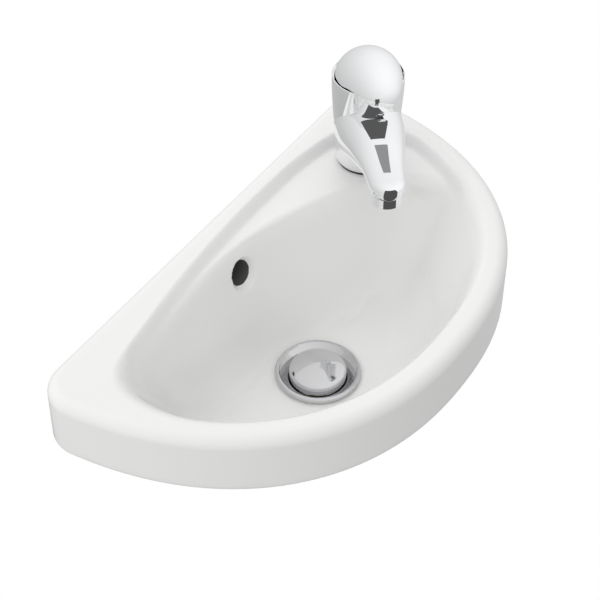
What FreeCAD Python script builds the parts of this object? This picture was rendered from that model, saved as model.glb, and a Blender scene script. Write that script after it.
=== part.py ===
"""D-shaped cloakroom basin for a wall, with a deck-mounted lever tap and a click waste.

Frame: X along the wall, the wall is the plane Y = 0 with the basin on its -Y side, +Z up.
The origin lies midway between the two wall-fixing holes.  Lengths are in millimetres.
"""
import FreeCAD
import Part
import Sketcher
import math
import os

V = FreeCAD.Vector
Z_AXIS = V(0, 0, 1)

SIZES = [
    # the ceramic, seen from above
    ("basin_length", 400, "along the wall"),
    ("basin_depth", 219, "from the wall to the front"),
    ("outline_power", 2.25, "exponent of the D outline, 2 is an ellipse"),
    ("end_corner", 27, "radius of the two upright corners at the wall"),
    ("front_rim", 20, "rim width along the front"),
    ("left_rim", 34, "rim width at the end without the tap"),
    ("tap_end_rim", 19, "rim width beside the tap"),
    ("back_rim", 14.5, "narrowest rim width at the wall"),
    # the ceramic, in height
    ("fixing_drop", 75, "from the rim down to the wall fixings"),
    ("skirt_height", 50, "height of the skirt round the rim"),
    ("rim_rounding", 9, "outer edge of the rim"),
    ("skirt_rounding", 5, "lower edge of the skirt"),
    ("skirt_wall", 11, "ceramic thickness of the skirt"),
    ("deck_drop", 8.5, "from the rim down to the tap deck"),
    ("deck_thickness", 15, "ceramic under the tap"),
    ("bowl_depth", 98, "from the rim down to the waste seat"),
    ("bowl_wall", 10, "ceramic thickness of the bowl"),
    ("wall_run_along", 54, "how far the bowl's end walls lean in, rim to floor"),
    ("wall_run_across", 28, "how far its front and back walls lean in, rim to floor"),
    ("floor_fall", 7, "degrees that the bowl's floor falls to the waste"),
    ("floor_rounding", 30, "start of the rounding between wall and floor"),
    ("deck_step_rounding", 4, "upper edge of the step down to the deck"),
    ("deck_foot_rounding", 3.5, "lower edge of the step down to the deck"),
    # the back of the ceramic
    ("back_panel_length", 260, "wall panel behind the bowl"),
    ("back_panel_drop", 118, "from the rim down to the panel's lower edge"),
    ("fixing_spacing", 200, "between the two wall-fixing holes"),
    ("fixing_hole", 12, "diameter of a wall-fixing hole"),
    # waste outlet of the ceramic
    ("waste_offset", 4, "waste axis, left of the basin's middle"),
    ("waste_share", 0.46575, "waste axis from the wall, as a share of the depth"),
    ("waste_hole", 46, "diameter of the waste hole"),
    ("waste_mouth", 56, "diameter of the waste hole's coned mouth"),
    ("waste_cone", 9, "depth of the coned mouth"),
    ("waste_seat", 68, "diameter of the flat seat round the waste hole"),
    ("outlet_boss", 76, "diameter of the boss round the waste hole"),
    ("outlet_length", 42, "from the waste seat down to the boss's lower face"),
    # overflow
    ("overflow_hole", 22, "diameter of the overflow hole"),
    ("overflow_drop", 31, "from the rim down to the overflow hole"),
    ("overflow_width", 24, "width of the duct behind the bowl"),
    ("overflow_gap", 9, "depth of the duct behind the bowl"),
    ("duct_wall", 7.5, "ceramic round the duct"),
    # tap position
    ("tap_share_along", 0.68, "tap axis from the middle, as a share of half the length"),
    ("tap_share_across", 0.25114, "tap axis from the wall, as a share of the depth"),
    ("tap_hole", 35, "diameter of the tap hole"),
    ("spout_turn", 40, "degrees between the spout and the wall"),
    ("lever_turn", 14, "degrees that the lever stands off the spout's line"),
    # tap body
    ("tap_gasket", 1.5, "thickness of the gasket under the tap"),
    ("tap_base_radius", 23.2, "tap body just over its rounded foot"),
    ("tap_top_radius", 27, "tap body at its collar"),
    ("foot_rounding", 5, "lower edge of the tap body"),
    ("dome_radius", 25.8, "lever dome"),
    ("dome_centre", 72, "height of the dome's centre over the tap's foot"),
    ("collar_over_centre", 6, "collar's upper edge over the dome's centre"),
    ("collar_wall", 0.8, "metal of the collar"),
    ("lever_gap", 0.5, "between the collar's edge and the lever over it"),
    ("beak_gap", 1.2, "between the collar and the beak outside it"),
    ("lever_front", 33, "reach of the lever's beak from the tap axis"),
    ("beak_drop", 9.5, "beak's lower edge under the dome's centre"),
    ("beak_tip_width", 14, "level part of the beak's lower edge"),
    ("beak_half_width", 15, "slanting part on each side of it"),
    ("lever_shell", 2.2, "metal of the lever's dome"),
    ("lever_lift", 18, "degrees from shut to fully open"),
    # spout
    ("spout_reach", 92, "tap axis to nozzle axis"),
    ("nozzle_height", 43, "nozzle's lower face over the tap's foot"),
    ("nozzle_radius", 12.9, "spout end round the nozzle"),
    ("spout_top", 60, "spout's upper side where it leaves the body"),
    ("spout_end_top", 54, "spout's upper side at the nozzle"),
    ("waterway", 7, "diameter of the bore through the spout"),
    # aerator
    ("aerator_radius", 12.2, "visible ring"),
    ("aerator_ring_height", 8.5, "visible ring"),
    ("aerator_thread", 10.6, "radius of its thread"),
    ("aerator_thread_length", 5, "thread up inside the nozzle"),
    ("aerator_insert_radius", 8.6, "flow former"),
    # cartridge
    ("cartridge_radius", 17.4, "housing"),
    ("cartridge_seat", 36, "height of its seat over the tap's foot"),
    ("cartridge_base_height", 6, "plastic base with the ports"),
    ("cartridge_height", 29, "seat to the housing's shoulder"),
    ("cartridge_wall", 1.8, "housing"),
    ("neck_radius", 13.2, "neck of the housing"),
    ("neck_top", 72, "top of the neck over the tap's foot"),
    ("rotor_radius", 11.1, "rotor in the neck"),
    ("fixed_disc_height", 5, "lower ceramic disc"),
    ("moving_disc_height", 4, "upper ceramic disc"),
    ("moving_disc_radius", 10.2, "upper ceramic disc"),
    ("driver_height", 9, "carrier on the upper disc"),
    ("spindle_width", 7, "square spindle"),
    ("spindle_tip_drop", 14, "spindle's ball under its pivot"),
    ("spindle_top", 90, "spindle's upper end over the tap's foot"),
    ("pivot_pin", 3, "diameter of the spindle's pivot pin"),
    ("port_radius", 3, "water ports"),
    ("nut_height", 4, "ring nut over the cartridge"),
    # lever fixing
    ("hub_radius", 8.5, "lever's socket"),
    ("hub_bottom", 80, "socket's lower end over the tap's foot"),
    ("screw_height", 84, "grub screw's axis over the tap's foot"),
    ("screw_size", 5, "diameter of the grub screw"),
    ("index_radius", 3.6, "cap over the grub screw"),
    # fixing under the deck
    ("stud_size", 6, "diameter of the fixing stud"),
    ("stud_offset", 12.5, "stud behind the tap axis"),
    ("stud_length", 60, "whole stud"),
    ("stud_in_body", 14, "stud inside the tap body"),
    ("washer_radius", 22, "horseshoe washers"),
    ("rubber_washer", 3, "thickness of the rubber horseshoe washer"),
    ("metal_washer", 2.5, "thickness of the metal horseshoe washer"),
    ("tail_slot", 24.6, "width of the horseshoe's slot"),
    ("stud_nut_width", 10, "across the nut's flats"),
    ("stud_nut_height", 10, "nut on the stud"),
    ("inlet_spacing", 14, "between the two inlet ports"),
    ("inlet_radius", 4.5, "wall of a threaded inlet"),
    ("inlet_depth", 14, "threaded inlet"),
    # waste
    ("flange_radius", 32, "waste flange"),
    ("flange_height", 2.6, "flange's lip over its seal"),
    ("flange_lip", 4, "width of the rounded lip"),
    ("dish_drop", 6.5, "depth of the dish inside the lip"),
    ("waste_seal", 1.5, "seal under the flange"),
    ("waste_bore", 39, "bore of the waste"),
    ("waste_thread", 41.9, "diameter of the waste's thread"),
    ("waste_length", 75, "flange's underside down to the waste's end"),
    ("slot_top", 13, "overflow slots under the seat"),
    ("slot_height", 15, "overflow slots"),
    ("slot_width", 9, "overflow slots"),
    ("crossbar_drop", 20, "crossbar under the seat"),
    ("crossbar_height", 6, "crossbar"),
    ("crossbar_width", 5, "crossbar"),
    ("cone_washer", 5, "height of the lower rubber washer"),
    ("slip_washer", 1.6, "thickness of the slip washer"),
    ("washer_reach", 31, "outer radius of the washers under the boss"),
    ("backnut_width", 54, "across the backnut's flats"),
    ("backnut_height", 9, "backnut"),
    ("thread_relief", 1.2, "shallow groove in the waste's thread under the backnut"),
    # plug
    ("plug_radius", 21.5, "domed plug"),
    ("plug_rise", 3.2, "height of the plug's dome"),
    ("plug_edge", 7, "height of the plug's upright edge"),
    ("plug_shoulder", 3.5, "rounding of the plug's upper edge"),
    ("plug_sink", 1.7, "plug's underside below the seat when shut"),
    ("plug_seal_radius", 18.8, "seal under the plug"),
    ("plug_seal_height", 2, "seal under the plug"),
    ("plunger_radius", 3.1, "plunger under the plug"),
    ("plunger_length", 22, "plunger under the plug"),
    ("sleeve_radius", 6.5, "click sleeve over the crossbar"),
    ("sleeve_thread", 4.2, "click sleeve's thread radius"),
    ("sleeve_drop", 34, "click sleeve's lower end under the seat"),
    ("sleeve_floor", 3, "closed end of the click sleeve"),
    ("spring_wire", 0.8, "click spring"),
    ("spring_turns", 5, "click spring"),
    # fits
    ("running_gap", 0.06, "radial, in a running fit"),
    ("thread_gap", 0.1, "radial, between threads drawn plain"),
    ("soft_gap", 0.3, "beside rubber and plastic pieces"),
]


class Length:
    """A number together with the sheet expression that gives it."""

    def __init__(self, value, text):
        self.value = value
        self.text = text

    def join(self, sign, other, result):
        return Length(result, "(%s %s %s)" % (self.text, sign, as_length(other).text))

    def __add__(self, other):
        return self.join("+", other, self.value + as_length(other).value)

    def __sub__(self, other):
        return self.join("-", other, self.value - as_length(other).value)

    def __mul__(self, other):
        return self.join("*", other, self.value * as_length(other).value)

    def __truediv__(self, other):
        return self.join("/", other, self.value / as_length(other).value)

    def __neg__(self):
        return Length(-self.value, "(0 - %s)" % self.text)

    def __float__(self):
        return float(self.value)


def as_length(number):
    return number if isinstance(number, Length) else Length(float(number), "%.6g" % number)


doc = FreeCAD.newDocument("Basin")
sheet = doc.addObject("Spreadsheet::Sheet", "Dims")


class Dims:
    """The sheet's sizes as Length values, one attribute for each alias."""


def fill_sheet():
    for row, (alias, value, meaning) in enumerate(SIZES, start=1):
        sheet.set("A%d" % row, alias)
        sheet.set("B%d" % row, str(value))
        sheet.set("C%d" % row, meaning)
        sheet.setAlias("B%d" % row, alias)
        setattr(Dims, alias, Length(float(value), "Dims." + alias))
    doc.recompute()


fill_sheet()
D = Dims
NODES = []


# ---------------------------------------------------------------- places
def tap_place():
    """Foot of the tap on its gasket; local +X is the spout's direction."""
    return (D.basin_length / 2 * D.tap_share_along, -D.basin_depth * D.tap_share_across,
            D.fixing_drop - D.deck_drop + D.tap_gasket, D.spout_turn + 180)


def lever_place():
    x, y, z, turn = tap_place()
    return x, y, z, turn + D.lever_turn


def waste_place():
    """Centre of the waste seat on the bowl's floor."""
    return (-D.waste_offset, -D.basin_depth * D.waste_share,
            D.fixing_drop - D.bowl_depth, as_length(0))


def rim_place():
    return as_length(0), as_length(0), D.fixing_drop, as_length(0)


def put(thing, place):
    """Keep a sub-part and bind its Placement to the sheet."""
    x, y, z, turn = place
    thing.Placement = FreeCAD.Placement(V(float(x), float(y), float(z)),
                                        FreeCAD.Rotation(Z_AXIS, float(turn)))
    thing.setExpression(".Placement.Base.x", x.text)
    thing.setExpression(".Placement.Base.y", y.text)
    thing.setExpression(".Placement.Base.z", z.text)
    thing.setExpression(".Placement.Rotation.Angle", turn.text)
    NODES.append(thing)
    return thing


def keep_shape(label, shape, place):
    """A sub-part whose shape is worked out with Part's own functions."""
    thing = doc.addObject("Part::Feature", label)
    thing.Label = label
    thing.Shape = shape
    return put(thing, place)


# ---------------------------------------------------------------- sketched pieces
def plane_of(body, role):
    return next(item for item in body.Origin.OriginFeatures if item.Role == role)


def polygon_sketch(body, name, plane, points):
    """A closed sketch whose corners are bound to the sheet: points are (across, up)."""
    sketch = body.newObject("Sketcher::SketchObject", name)
    sketch.AttachmentSupport = [(plane_of(body, plane), "")]
    sketch.MapMode = "FlatFace"
    count = len(points)
    for index in range(count):
        a, b = points[index], points[(index + 1) % count]
        sketch.addGeometry(Part.LineSegment(V(float(a[0]), float(a[1]), 0),
                                            V(float(b[0]), float(b[1]), 0)), False)
    import_constraints(sketch, points)
    return sketch


def import_constraints(sketch, points):
    count = len(points)
    for index in range(count):
        sketch.addConstraint(Sketcher.Constraint("Coincident", index, 2, (index + 1) % count, 1))
    for index, (across, up) in enumerate(points):
        for kind, size in (("DistanceX", as_length(across)), ("DistanceY", as_length(up))):
            place = sketch.addConstraint(
                Sketcher.Constraint(kind, -1, 1, index, 1, float(size)))
            sketch.setExpression("Constraints[%d]" % place, size.text)


def turned(label, points, place):
    """A body turned about its own Z axis from a profile of (radius, height) corners."""
    body = doc.addObject("PartDesign::Body", label)
    body.Label = label
    sketch = polygon_sketch(body, label + "_profile", "XZ_Plane", points)
    turn = body.newObject("PartDesign::Revolution", label + "_turned")
    turn.Profile = sketch
    turn.ReferenceAxis = (sketch, ["V_Axis"])
    turn.Angle = 360
    body.Tip = turn
    return put(body, place)


def ring(label, inner, outer, low, high, place):
    return turned(label, [(inner, low), (outer, low), (outer, high), (inner, high)], place)


def nut_across_flats(body, label, flats, low, height, hole, teeth=6):
    """A hexagonal prism with a bore, as a pad and a pocket in one body."""
    corners = []
    for index in range(teeth):
        angle = math.radians(360.0 / teeth * index)
        across = flats / (2 * math.cos(math.pi / teeth))
        corners.append((hole[0] + across * math.cos(angle), across * math.sin(angle)))
    sketch = polygon_sketch(body, label + "_hexagon", "XY_Plane", corners)
    sketch.setExpression(".AttachmentOffset.Base.z", as_length(low).text)
    pad = body.newObject("PartDesign::Pad", label + "_pad")
    pad.Profile = sketch
    pad.setExpression("Length", height.text)
    bore = body.newObject("Sketcher::SketchObject", label + "_bore")
    bore.AttachmentSupport = [(plane_of(body, "XY_Plane"), "")]
    bore.MapMode = "FlatFace"
    bore.setExpression(".AttachmentOffset.Base.z", as_length(low).text)
    bore.addGeometry(Part.Circle(V(hole[0].value, 0, 0), Z_AXIS, hole[1].value), False)
    centre = bore.addConstraint(Sketcher.Constraint("DistanceX", -1, 1, 0, 3, hole[0].value))
    bore.setExpression("Constraints[%d]" % centre, hole[0].text)
    radius = bore.addConstraint(Sketcher.Constraint("Radius", 0, hole[1].value))
    bore.setExpression("Constraints[%d]" % radius, hole[1].text)
    cut = body.newObject("PartDesign::Pocket", label + "_hole")
    cut.Profile = bore
    cut.Reversed = True
    cut.setExpression("Length", height.text)
    return cut


# ---------------------------------------------------------------- outlines of the ceramic
def front_of(x, length, depth):
    """Distance from the wall to the D outline at x."""
    share = min(abs(2 * x / length), 1.0)
    return depth * (1 - share ** D.outline_power.value) ** (1 / D.outline_power.value)


def d_outline(inset):
    """The D outline moved in by inset, with its straight side on the wall side."""
    length = D.basin_length.value - 2 * inset
    depth = D.basin_depth.value - inset
    sides = 24
    points = []
    for side in range(sides + 1):
        angle = math.pi * side / sides
        across = math.copysign(abs(math.cos(angle)) ** (2 / D.outline_power.value),
                               math.cos(angle))
        along = abs(math.sin(angle)) ** (2 / D.outline_power.value)
        points.append(V(across * length / 2, -inset - along * (depth - inset), 0))
    curve = Part.BSplineCurve()
    curve.interpolate(points)
    back = Part.LineSegment(points[-1], points[0])
    return Part.Wire([curve.toShape(), back.toShape()])


def closed_curve(points):
    curve = Part.BSplineCurve()
    curve.interpolate(points, PeriodicFlag=True)
    return Part.Wire(curve.toShape())


def rim_point(x, rim):
    """A point on the rim's inner edge, the rim's width in from the outline at x."""
    length, depth = D.basin_length.value, D.basin_depth.value
    step = 0.5
    slope = front_of(x + step, length, depth) - front_of(x - step, length, depth)
    across = math.hypot(slope, 2 * step)
    return V(x + rim * slope / across, -front_of(x, length, depth) + rim * 2 * step / across, 0)


def from_corner(corner, steps):
    """Points given from a corner in thousandths of the basin's half length and depth."""
    half, depth = D.basin_length.value / 2000, D.basin_depth.value / 1000
    return [corner + V(along * half, across * depth, 0) for along, across in steps]


def tap_spot():
    x, y, _, _ = tap_place()
    return V(x.value, y.value, 0)


def waste_spot():
    x, y, _, _ = waste_place()
    return V(x.value, y.value, 0)


def rim_points(shares, rim):
    half = D.basin_length.value / 2
    return [rim_point(share * half, rim) for share in shares]


def rim_corner():
    """Where the left and back rims' inner edges would meet."""
    return V(-D.basin_length.value / 2 + D.left_rim.value, -D.back_rim.value, 0)


def mouth_points():
    """The bowl's edge, anticlockwise from the deck's corner by the tap."""
    deck = from_corner(tap_spot(), [(60, -292), (5, -169), (-160, -55), (-360, 43),
                                    (-590, 107), (-840, 130)])
    left_end = from_corner(rim_corner(), [(220, -82), (85, -110), (20, -169), (0, -283)])
    front = rim_points((-0.88, -0.7, -0.49, -0.25, 0, 0.25, 0.49, 0.7), D.front_rim.value)
    tip = rim_points((0.815,), D.front_rim.value * 0.925)
    return deck + left_end + front + tip


def between(a, b, share):
    return a + (b - a) * share


def bowl_meridian(mouth, grow):
    """Heights and radii about the waste down one side of the bowl, from above its mouth.

    Each side is a leaning wall and a falling floor with a parabola between them.
    grow moves it out by the wall's thickness.
    """
    waste = waste_spot()
    arm = mouth - waste
    angle = math.atan2(arm.y, arm.x)
    run = (D.wall_run_along.value * math.cos(angle) ** 2
           + D.wall_run_across.value * math.sin(angle) ** 2)
    seat, depth = D.waste_seat.value / 2, D.bowl_depth.value
    foot = arm.Length - run
    rise = (foot - seat) * math.tan(math.radians(D.floor_fall.value))
    edge = V(arm.Length + grow, 0, -grow / 2)
    corner = V(foot + grow * 0.8, 0, -depth + rise - grow)
    end = V(seat + grow, 0, -depth - grow)
    rounding = D.floor_rounding.value
    above = between(corner, edge, min(0.45, rounding / (edge - corner).Length))
    beyond = between(corner, end, min(0.75, rounding / (end - corner).Length))
    line = [edge + V(5, 0, 3), edge + V(1.2, 0, -1), between(edge, above, 0.09)]
    line += [between(edge, above, share) for share in (0.35, 0.7)]
    for share in (0.0, 0.25, 0.5, 0.75, 1.0):
        line.append(between(between(above, corner, share), between(corner, beyond, share), share))
    line += [between(beyond, end, 0.5), end]
    return [waste + V(math.cos(angle) * spot.x, math.sin(angle) * spot.x, spot.z)
            for spot in line]


def bowl_solid(grow):
    """The bowl's inside, or with grow the outside of its wall."""
    meridians = [bowl_meridian(mouth, grow) for mouth in mouth_points()]
    sections = [closed_curve(list(level)) for level in zip(*meridians)]
    return Part.makeLoft(sections, True, False)


def recess_outline():
    """Upper edge of the sunken deck; its front part lies out of sight over the bowl."""
    back_edge = from_corner(rim_corner(), [(120, -98), (300, -57), (550, -25), (805, -7),
                                           (1080, 0), (1380, -14), (1570, -59), (1670, -160)])
    end = rim_points((0.95, 0.91, 0.85, 0.79), D.tap_end_rim.value)
    inside = from_corner(tap_spot(), [(-70, -402), (-400, -320), (-930, -160)])
    left_end = from_corner(rim_corner(), [(260, -283), (120, -201)])
    return closed_curve(back_edge + end + inside + left_end)


def prism(wire, low, high):
    face = Part.Face(wire)
    face.translate(V(0, 0, low))
    return face.extrude(V(0, 0, high - low))


def box(x_low, x_high, y_low, y_high, z_low, z_high):
    return Part.makeBox(x_high - x_low, y_high - y_low, z_high - z_low,
                        V(x_low, y_low, z_low))


def rod(radius, base, along):
    return Part.makeCylinder(radius, along.Length, base, along)


def upright_edges(solid, y):
    """Straight upright edges at a given distance from the wall."""
    return [edge for edge in solid.Edges
            if edge.BoundBox.ZLength > 1 and edge.BoundBox.XLength < 0.01
            and abs(edge.BoundBox.YMax - y) < 0.5]


def level_edges(solid, z):
    return [edge for edge in solid.Edges
            if edge.BoundBox.ZLength < 0.01 and abs(edge.BoundBox.ZMax - z) < 0.01]


def sunken_slab():
    """The D-shaped slab with its rounded edges and the sunken tap deck."""
    skirt = D.skirt_height.value
    slab = prism(d_outline(0), -skirt, 0)
    slab = slab.makeFillet(D.end_corner.value, upright_edges(slab, 0))
    slab = slab.makeFillet(D.rim_rounding.value, level_edges(slab, 0))
    slab = slab.makeFillet(D.skirt_rounding.value, level_edges(slab, -skirt))
    outer = [edge.Length for edge in level_edges(slab, 0)]
    recess = prism(recess_outline(), -D.deck_drop.value, D.deck_drop.value)
    recess = recess.makeFillet(D.deck_foot_rounding.value,
                               level_edges(recess, -D.deck_drop.value))
    slab = slab.cut(recess)
    step = [edge for edge in level_edges(slab, 0)
            if all(abs(edge.Length - length) > 0.01 for length in outer)]
    return slab.makeFillet(D.deck_step_rounding.value, step)


def basin_body():
    """The whole ceramic, with the rim at height 0."""
    skirt, wall = D.skirt_height.value, D.skirt_wall.value
    deck_under = -(D.deck_drop.value + D.deck_thickness.value)
    panel, panel_low = D.back_panel_length.value / 2, -D.back_panel_drop.value
    hollow = prism(d_outline(wall), -skirt - 1, deck_under)
    hollow = hollow.makeFillet(D.end_corner.value - wall, upright_edges(hollow, -wall))
    body = sunken_slab().cut(hollow)

    waste = waste_spot() - V(0, 0, D.bowl_depth.value)
    outlet = D.outlet_length.value
    far = D.basin_length.value
    shell = bowl_solid(D.bowl_wall.value)
    shell = shell.common(box(-far, far, -far, 0, -far, deck_under + 1))
    boss = rod(D.outlet_boss.value / 2, waste, V(0, 0, -outlet))
    wall_panel = box(-panel, panel, -wall, 0, panel_low, deck_under)
    wall_panel = wall_panel.makeFillet(D.end_corner.value, [
        edge for edge in wall_panel.Edges
        if edge.BoundBox.ZMax < panel_low + 0.01 and edge.BoundBox.YLength > wall - 0.01])
    duct_half, duct_wall = D.overflow_width.value / 2, D.duct_wall.value
    duct_back = -wall - 3
    duct_floor = waste.z - outlet + duct_wall
    duct_block = box(waste.x - duct_half - duct_wall, waste.x + duct_half + duct_wall,
                     waste.y, -wall, duct_floor - duct_wall, deck_under)
    body = body.fuse([shell, boss, wall_panel, duct_block])

    hole = rod(D.waste_hole.value / 2, waste, V(0, 0, -outlet - 1))
    cone = Part.makeCone(D.waste_hole.value / 2, D.waste_mouth.value / 2, D.waste_cone.value,
                         waste - V(0, 0, D.waste_cone.value))
    duct_down = box(waste.x - duct_half, waste.x + duct_half, duct_back - D.overflow_gap.value,
                    duct_back, duct_floor, deck_under)
    duct_along = box(waste.x - duct_half, waste.x + duct_half, waste.y, duct_back,
                     duct_floor, duct_floor + D.overflow_gap.value + 4)
    tap_hole = rod(D.tap_hole.value / 2, tap_spot(), V(0, 0, deck_under - 1))
    overflow = rod(D.overflow_hole.value / 2,
                   V(waste.x, duct_back - D.overflow_gap.value / 2, -D.overflow_drop.value),
                   V(0, waste.y / 2, 0))
    fixings = [rod(D.fixing_hole.value / 2,
                   V(side * D.fixing_spacing.value / 2, -wall - 1, -D.fixing_drop.value),
                   V(0, wall + 2, 0)) for side in (-1, 1)]
    body = body.cut(bowl_solid(0))
    return body.cut([hole, cone, duct_down, duct_along, tap_hole, overflow] + fixings)


# ---------------------------------------------------------------- tap body
def profile_turned(points):
    """A solid turned about Z from (radius, height) corners."""
    corners = [V(float(r), 0, float(z)) for r, z in points]
    face = Part.Face(Part.makePolygon(corners + corners[:1]))
    return face.revolve(V(0, 0, 0), Z_AXIS, 360)


def spout_section(x, half_width, low, high):
    """Egg-shaped section of the spout: broad below, narrower on its top."""
    middle, half_height = (low + high) / 2, (high - low) / 2
    points = []
    corners = 16
    for corner in range(corners):
        angle = 2 * math.pi * corner / corners
        across, up = math.cos(angle), math.sin(angle)
        across = math.copysign(abs(across) ** 0.64, across) * (1 - 0.08 * up)
        up = math.copysign(abs(up) ** 0.74, up)
        points.append(V(x, half_width * across, middle + half_height * up))
    return closed_curve(points)


def spout_solid():
    reach, top, end = D.spout_reach.value, D.spout_top.value, D.spout_end_top.value
    low = D.nozzle_height.value
    root, tip = D.tap_base_radius.value, D.nozzle_radius.value
    sections = [
        spout_section(0, root - 0.4, low - 30, top),
        spout_section(reach * 0.28, root - 1.2, low - 23, top - 0.3),
        spout_section(reach * 0.55, root - 5.5, low - 11, top - 1.7),
        spout_section(reach * 0.82, tip + 1.6, low - 1.0, end + 1.2),
        spout_section(reach, tip, low + 0.6, end),
    ]
    return Part.makeLoft(sections, True, False)


def tap_body():
    base, top = D.tap_base_radius.value, D.tap_top_radius.value
    collar = D.dome_centre.value + D.collar_over_centre.value
    foot, bevel = D.foot_rounding.value, D.collar_wall.value / 2
    solid = profile_turned([(0, 0), (base - 1, 0), (base, foot * 2), (top, collar - 12),
                            (top, collar), (0, collar)])
    foot_edge = [edge for edge in solid.Edges
                 if edge.BoundBox.ZMax < 0.01 and abs(edge.BoundBox.XMax - base + 1) < 0.01]
    collar_edge = [edge for edge in solid.Edges
                   if edge.BoundBox.ZMin > collar - 0.01
                   and abs(edge.BoundBox.XMax - top) < 0.01]
    solid = solid.makeFillet(foot, foot_edge).makeChamfer(bevel, collar_edge)

    nozzle = V(D.spout_reach.value, 0, D.nozzle_height.value)
    barrel = rod(D.nozzle_radius.value, nozzle,
                 V(0, 0, D.spout_end_top.value - D.nozzle_height.value - 1))
    barrel_top = [edge for edge in barrel.Edges
                  if edge.BoundBox.ZMin > nozzle.z + 1 and edge.BoundBox.ZLength < 0.01]
    barrel = barrel.makeFillet(4, barrel_top)
    solid = solid.fuse([spout_solid(), barrel])

    seat = D.cartridge_seat.value
    pocket_radius = D.cartridge_radius.value + D.soft_gap.value
    nut_floor = seat + D.cartridge_height.value
    nut_radius = pocket_radius + 2
    collar_bore = top - D.collar_wall.value
    pocket = rod(pocket_radius, V(0, 0, seat), V(0, 0, collar))
    nut_bore = rod(nut_radius, V(0, 0, nut_floor), V(0, 0, collar))
    dome_bore = rod(collar_bore, V(0, 0, nut_floor + D.nut_height.value + 1), V(0, 0, collar))

    hole = D.waterway.value / 2
    up = V(0, 0, 1)
    outlet_port = V(D.port_radius.value + 5, 0, seat + 1)
    drop = rod(D.port_radius.value, outlet_port, up * -9)
    run_start = V(outlet_port.x - 1, 0, seat - 9)
    run_bend = V(nozzle.x * 0.43, 0, seat + 4)
    run_end = V(nozzle.x, 0, nozzle.z + D.aerator_thread_length.value)
    waterway = rod(hole, run_start, run_bend - run_start)
    waterway = waterway.fuse([Part.makeSphere(hole, run_bend),
                              rod(hole, run_bend, run_end - run_bend)])
    chamber = rod(D.aerator_thread.value + D.thread_gap.value, nozzle - up,
                  up * (D.aerator_thread_length.value + 2))
    under_nozzle = rod(D.nozzle_radius.value + 1, nozzle, up * -D.aerator_ring_height.value)
    cuts = [pocket, nut_bore, dome_bore, drop, waterway, chamber, under_nozzle]
    for side in (-1, 1):
        inlet = V(2, side * D.inlet_spacing.value / 2, 0)
        cuts.append(rod(D.inlet_radius.value, inlet - up, up * (D.inlet_depth.value + 1)))
        cuts.append(rod(D.port_radius.value - 0.4, inlet, up * (seat + 1)))
    stud = V(-D.stud_offset.value, 0, 0)
    cuts.append(rod(D.stud_size.value / 2 + D.thread_gap.value, stud - up,
                    up * (D.stud_in_body.value + 2)))
    return solid.cut(cuts)


# ---------------------------------------------------------------- lever
def lever():
    """Dome lever; its beak points along local +X and hangs outside the collar."""
    radius, centre = D.dome_radius.value, D.dome_centre.value
    reach = D.lever_front.value / radius
    middle = V(0, 0, centre)

    def dome(shrink):
        ball = Part.makeSphere(radius - shrink, middle)
        back = ball.common(box(-radius * 2, 0, -radius * 2, radius * 2,
                               centre - radius * 2, centre + radius * 2))
        stretch = FreeCAD.Matrix()
        stretch.scale((radius * reach - shrink) / (radius - shrink), 1, 1)
        front = ball.common(box(0, radius * 2, -radius * 2, radius * 2,
                                centre - radius * 2, centre + radius * 2))
        return back.fuse(front.transformGeometry(stretch))

    collar = centre + D.collar_over_centre.value + D.lever_gap.value
    outside = D.tap_top_radius.value + D.beak_gap.value
    cap = dome(0).cut(rod(outside, V(0, 0, centre - radius), V(0, 0, collar - centre + radius)))
    behind = box(-radius * 2, 0, -radius * 2, radius * 2, centre - radius, collar)
    tip = centre - D.beak_drop.value
    flat, slant = D.beak_tip_width.value / 2, D.beak_half_width.value
    outline = [V(0, -radius * 2, tip - radius), V(0, radius * 2, tip - radius),
               V(0, radius * 2, collar), V(0, flat + slant, collar), V(0, flat, tip),
               V(0, -flat, tip), V(0, -flat - slant, collar), V(0, -radius * 2, collar)]
    beneath = Part.Face(Part.makePolygon(outline + outline[:1])).extrude(V(radius * 2, 0, 0))
    cap = cap.cut([behind, beneath])
    hollow = dome(D.lever_shell.value).common(
        rod(radius - D.lever_shell.value, V(0, 0, centre - radius), V(0, 0, radius * 3)))
    shell = cap.cut(hollow)
    hub = rod(D.hub_radius.value, V(0, 0, D.hub_bottom.value), V(0, 0, radius))
    hub = hub.common(dome(D.lever_shell.value / 2))
    socket_half = D.spindle_width.value / 2 + D.thread_gap.value
    socket = box(-socket_half, socket_half, -socket_half, socket_half,
                 D.hub_bottom.value - 1, D.spindle_top.value + D.soft_gap.value)
    axis = V(0, 0, D.screw_height.value)
    screw_hole = rod(D.screw_size.value / 2 + D.thread_gap.value, axis, V(-radius * 2, 0, 0))
    cap_hole = rod(D.index_radius.value + D.thread_gap.value,
                   axis - V(D.hub_radius.value + 7, 0, 0), V(-radius, 0, 0))
    return shell.fuse(hub).cut([socket, screw_hole, cap_hole])


def index_cap():
    """Round cap that closes the grub screw's hole flush with the dome."""
    radius, centre = D.dome_radius.value, D.dome_centre.value
    axis = V(-D.hub_radius.value - 7.5, 0, D.screw_height.value)
    plug = rod(D.index_radius.value, axis, V(-radius, 0, 0))
    return plug.common(Part.makeSphere(radius - 0.15, V(0, 0, centre)))


def grub_screw():
    """Socket screw that bears on the spindle, on local -X."""
    start = V(-D.spindle_width.value / 2 - D.thread_gap.value, 0, D.screw_height.value)
    length = D.hub_radius.value - D.spindle_width.value / 2 + 2
    size = D.screw_size.value
    solid = rod(size / 2, start, V(-length, 0, 0))
    corners = [V(start.x - length, size * 0.29 * math.cos(math.pi / 3 * corner),
                 start.z + size * 0.29 * math.sin(math.pi / 3 * corner)) for corner in range(6)]
    key = Part.Face(Part.makePolygon(corners + corners[:1])).extrude(V(size * 0.6, 0, 0))
    return solid.cut(key)


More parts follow.
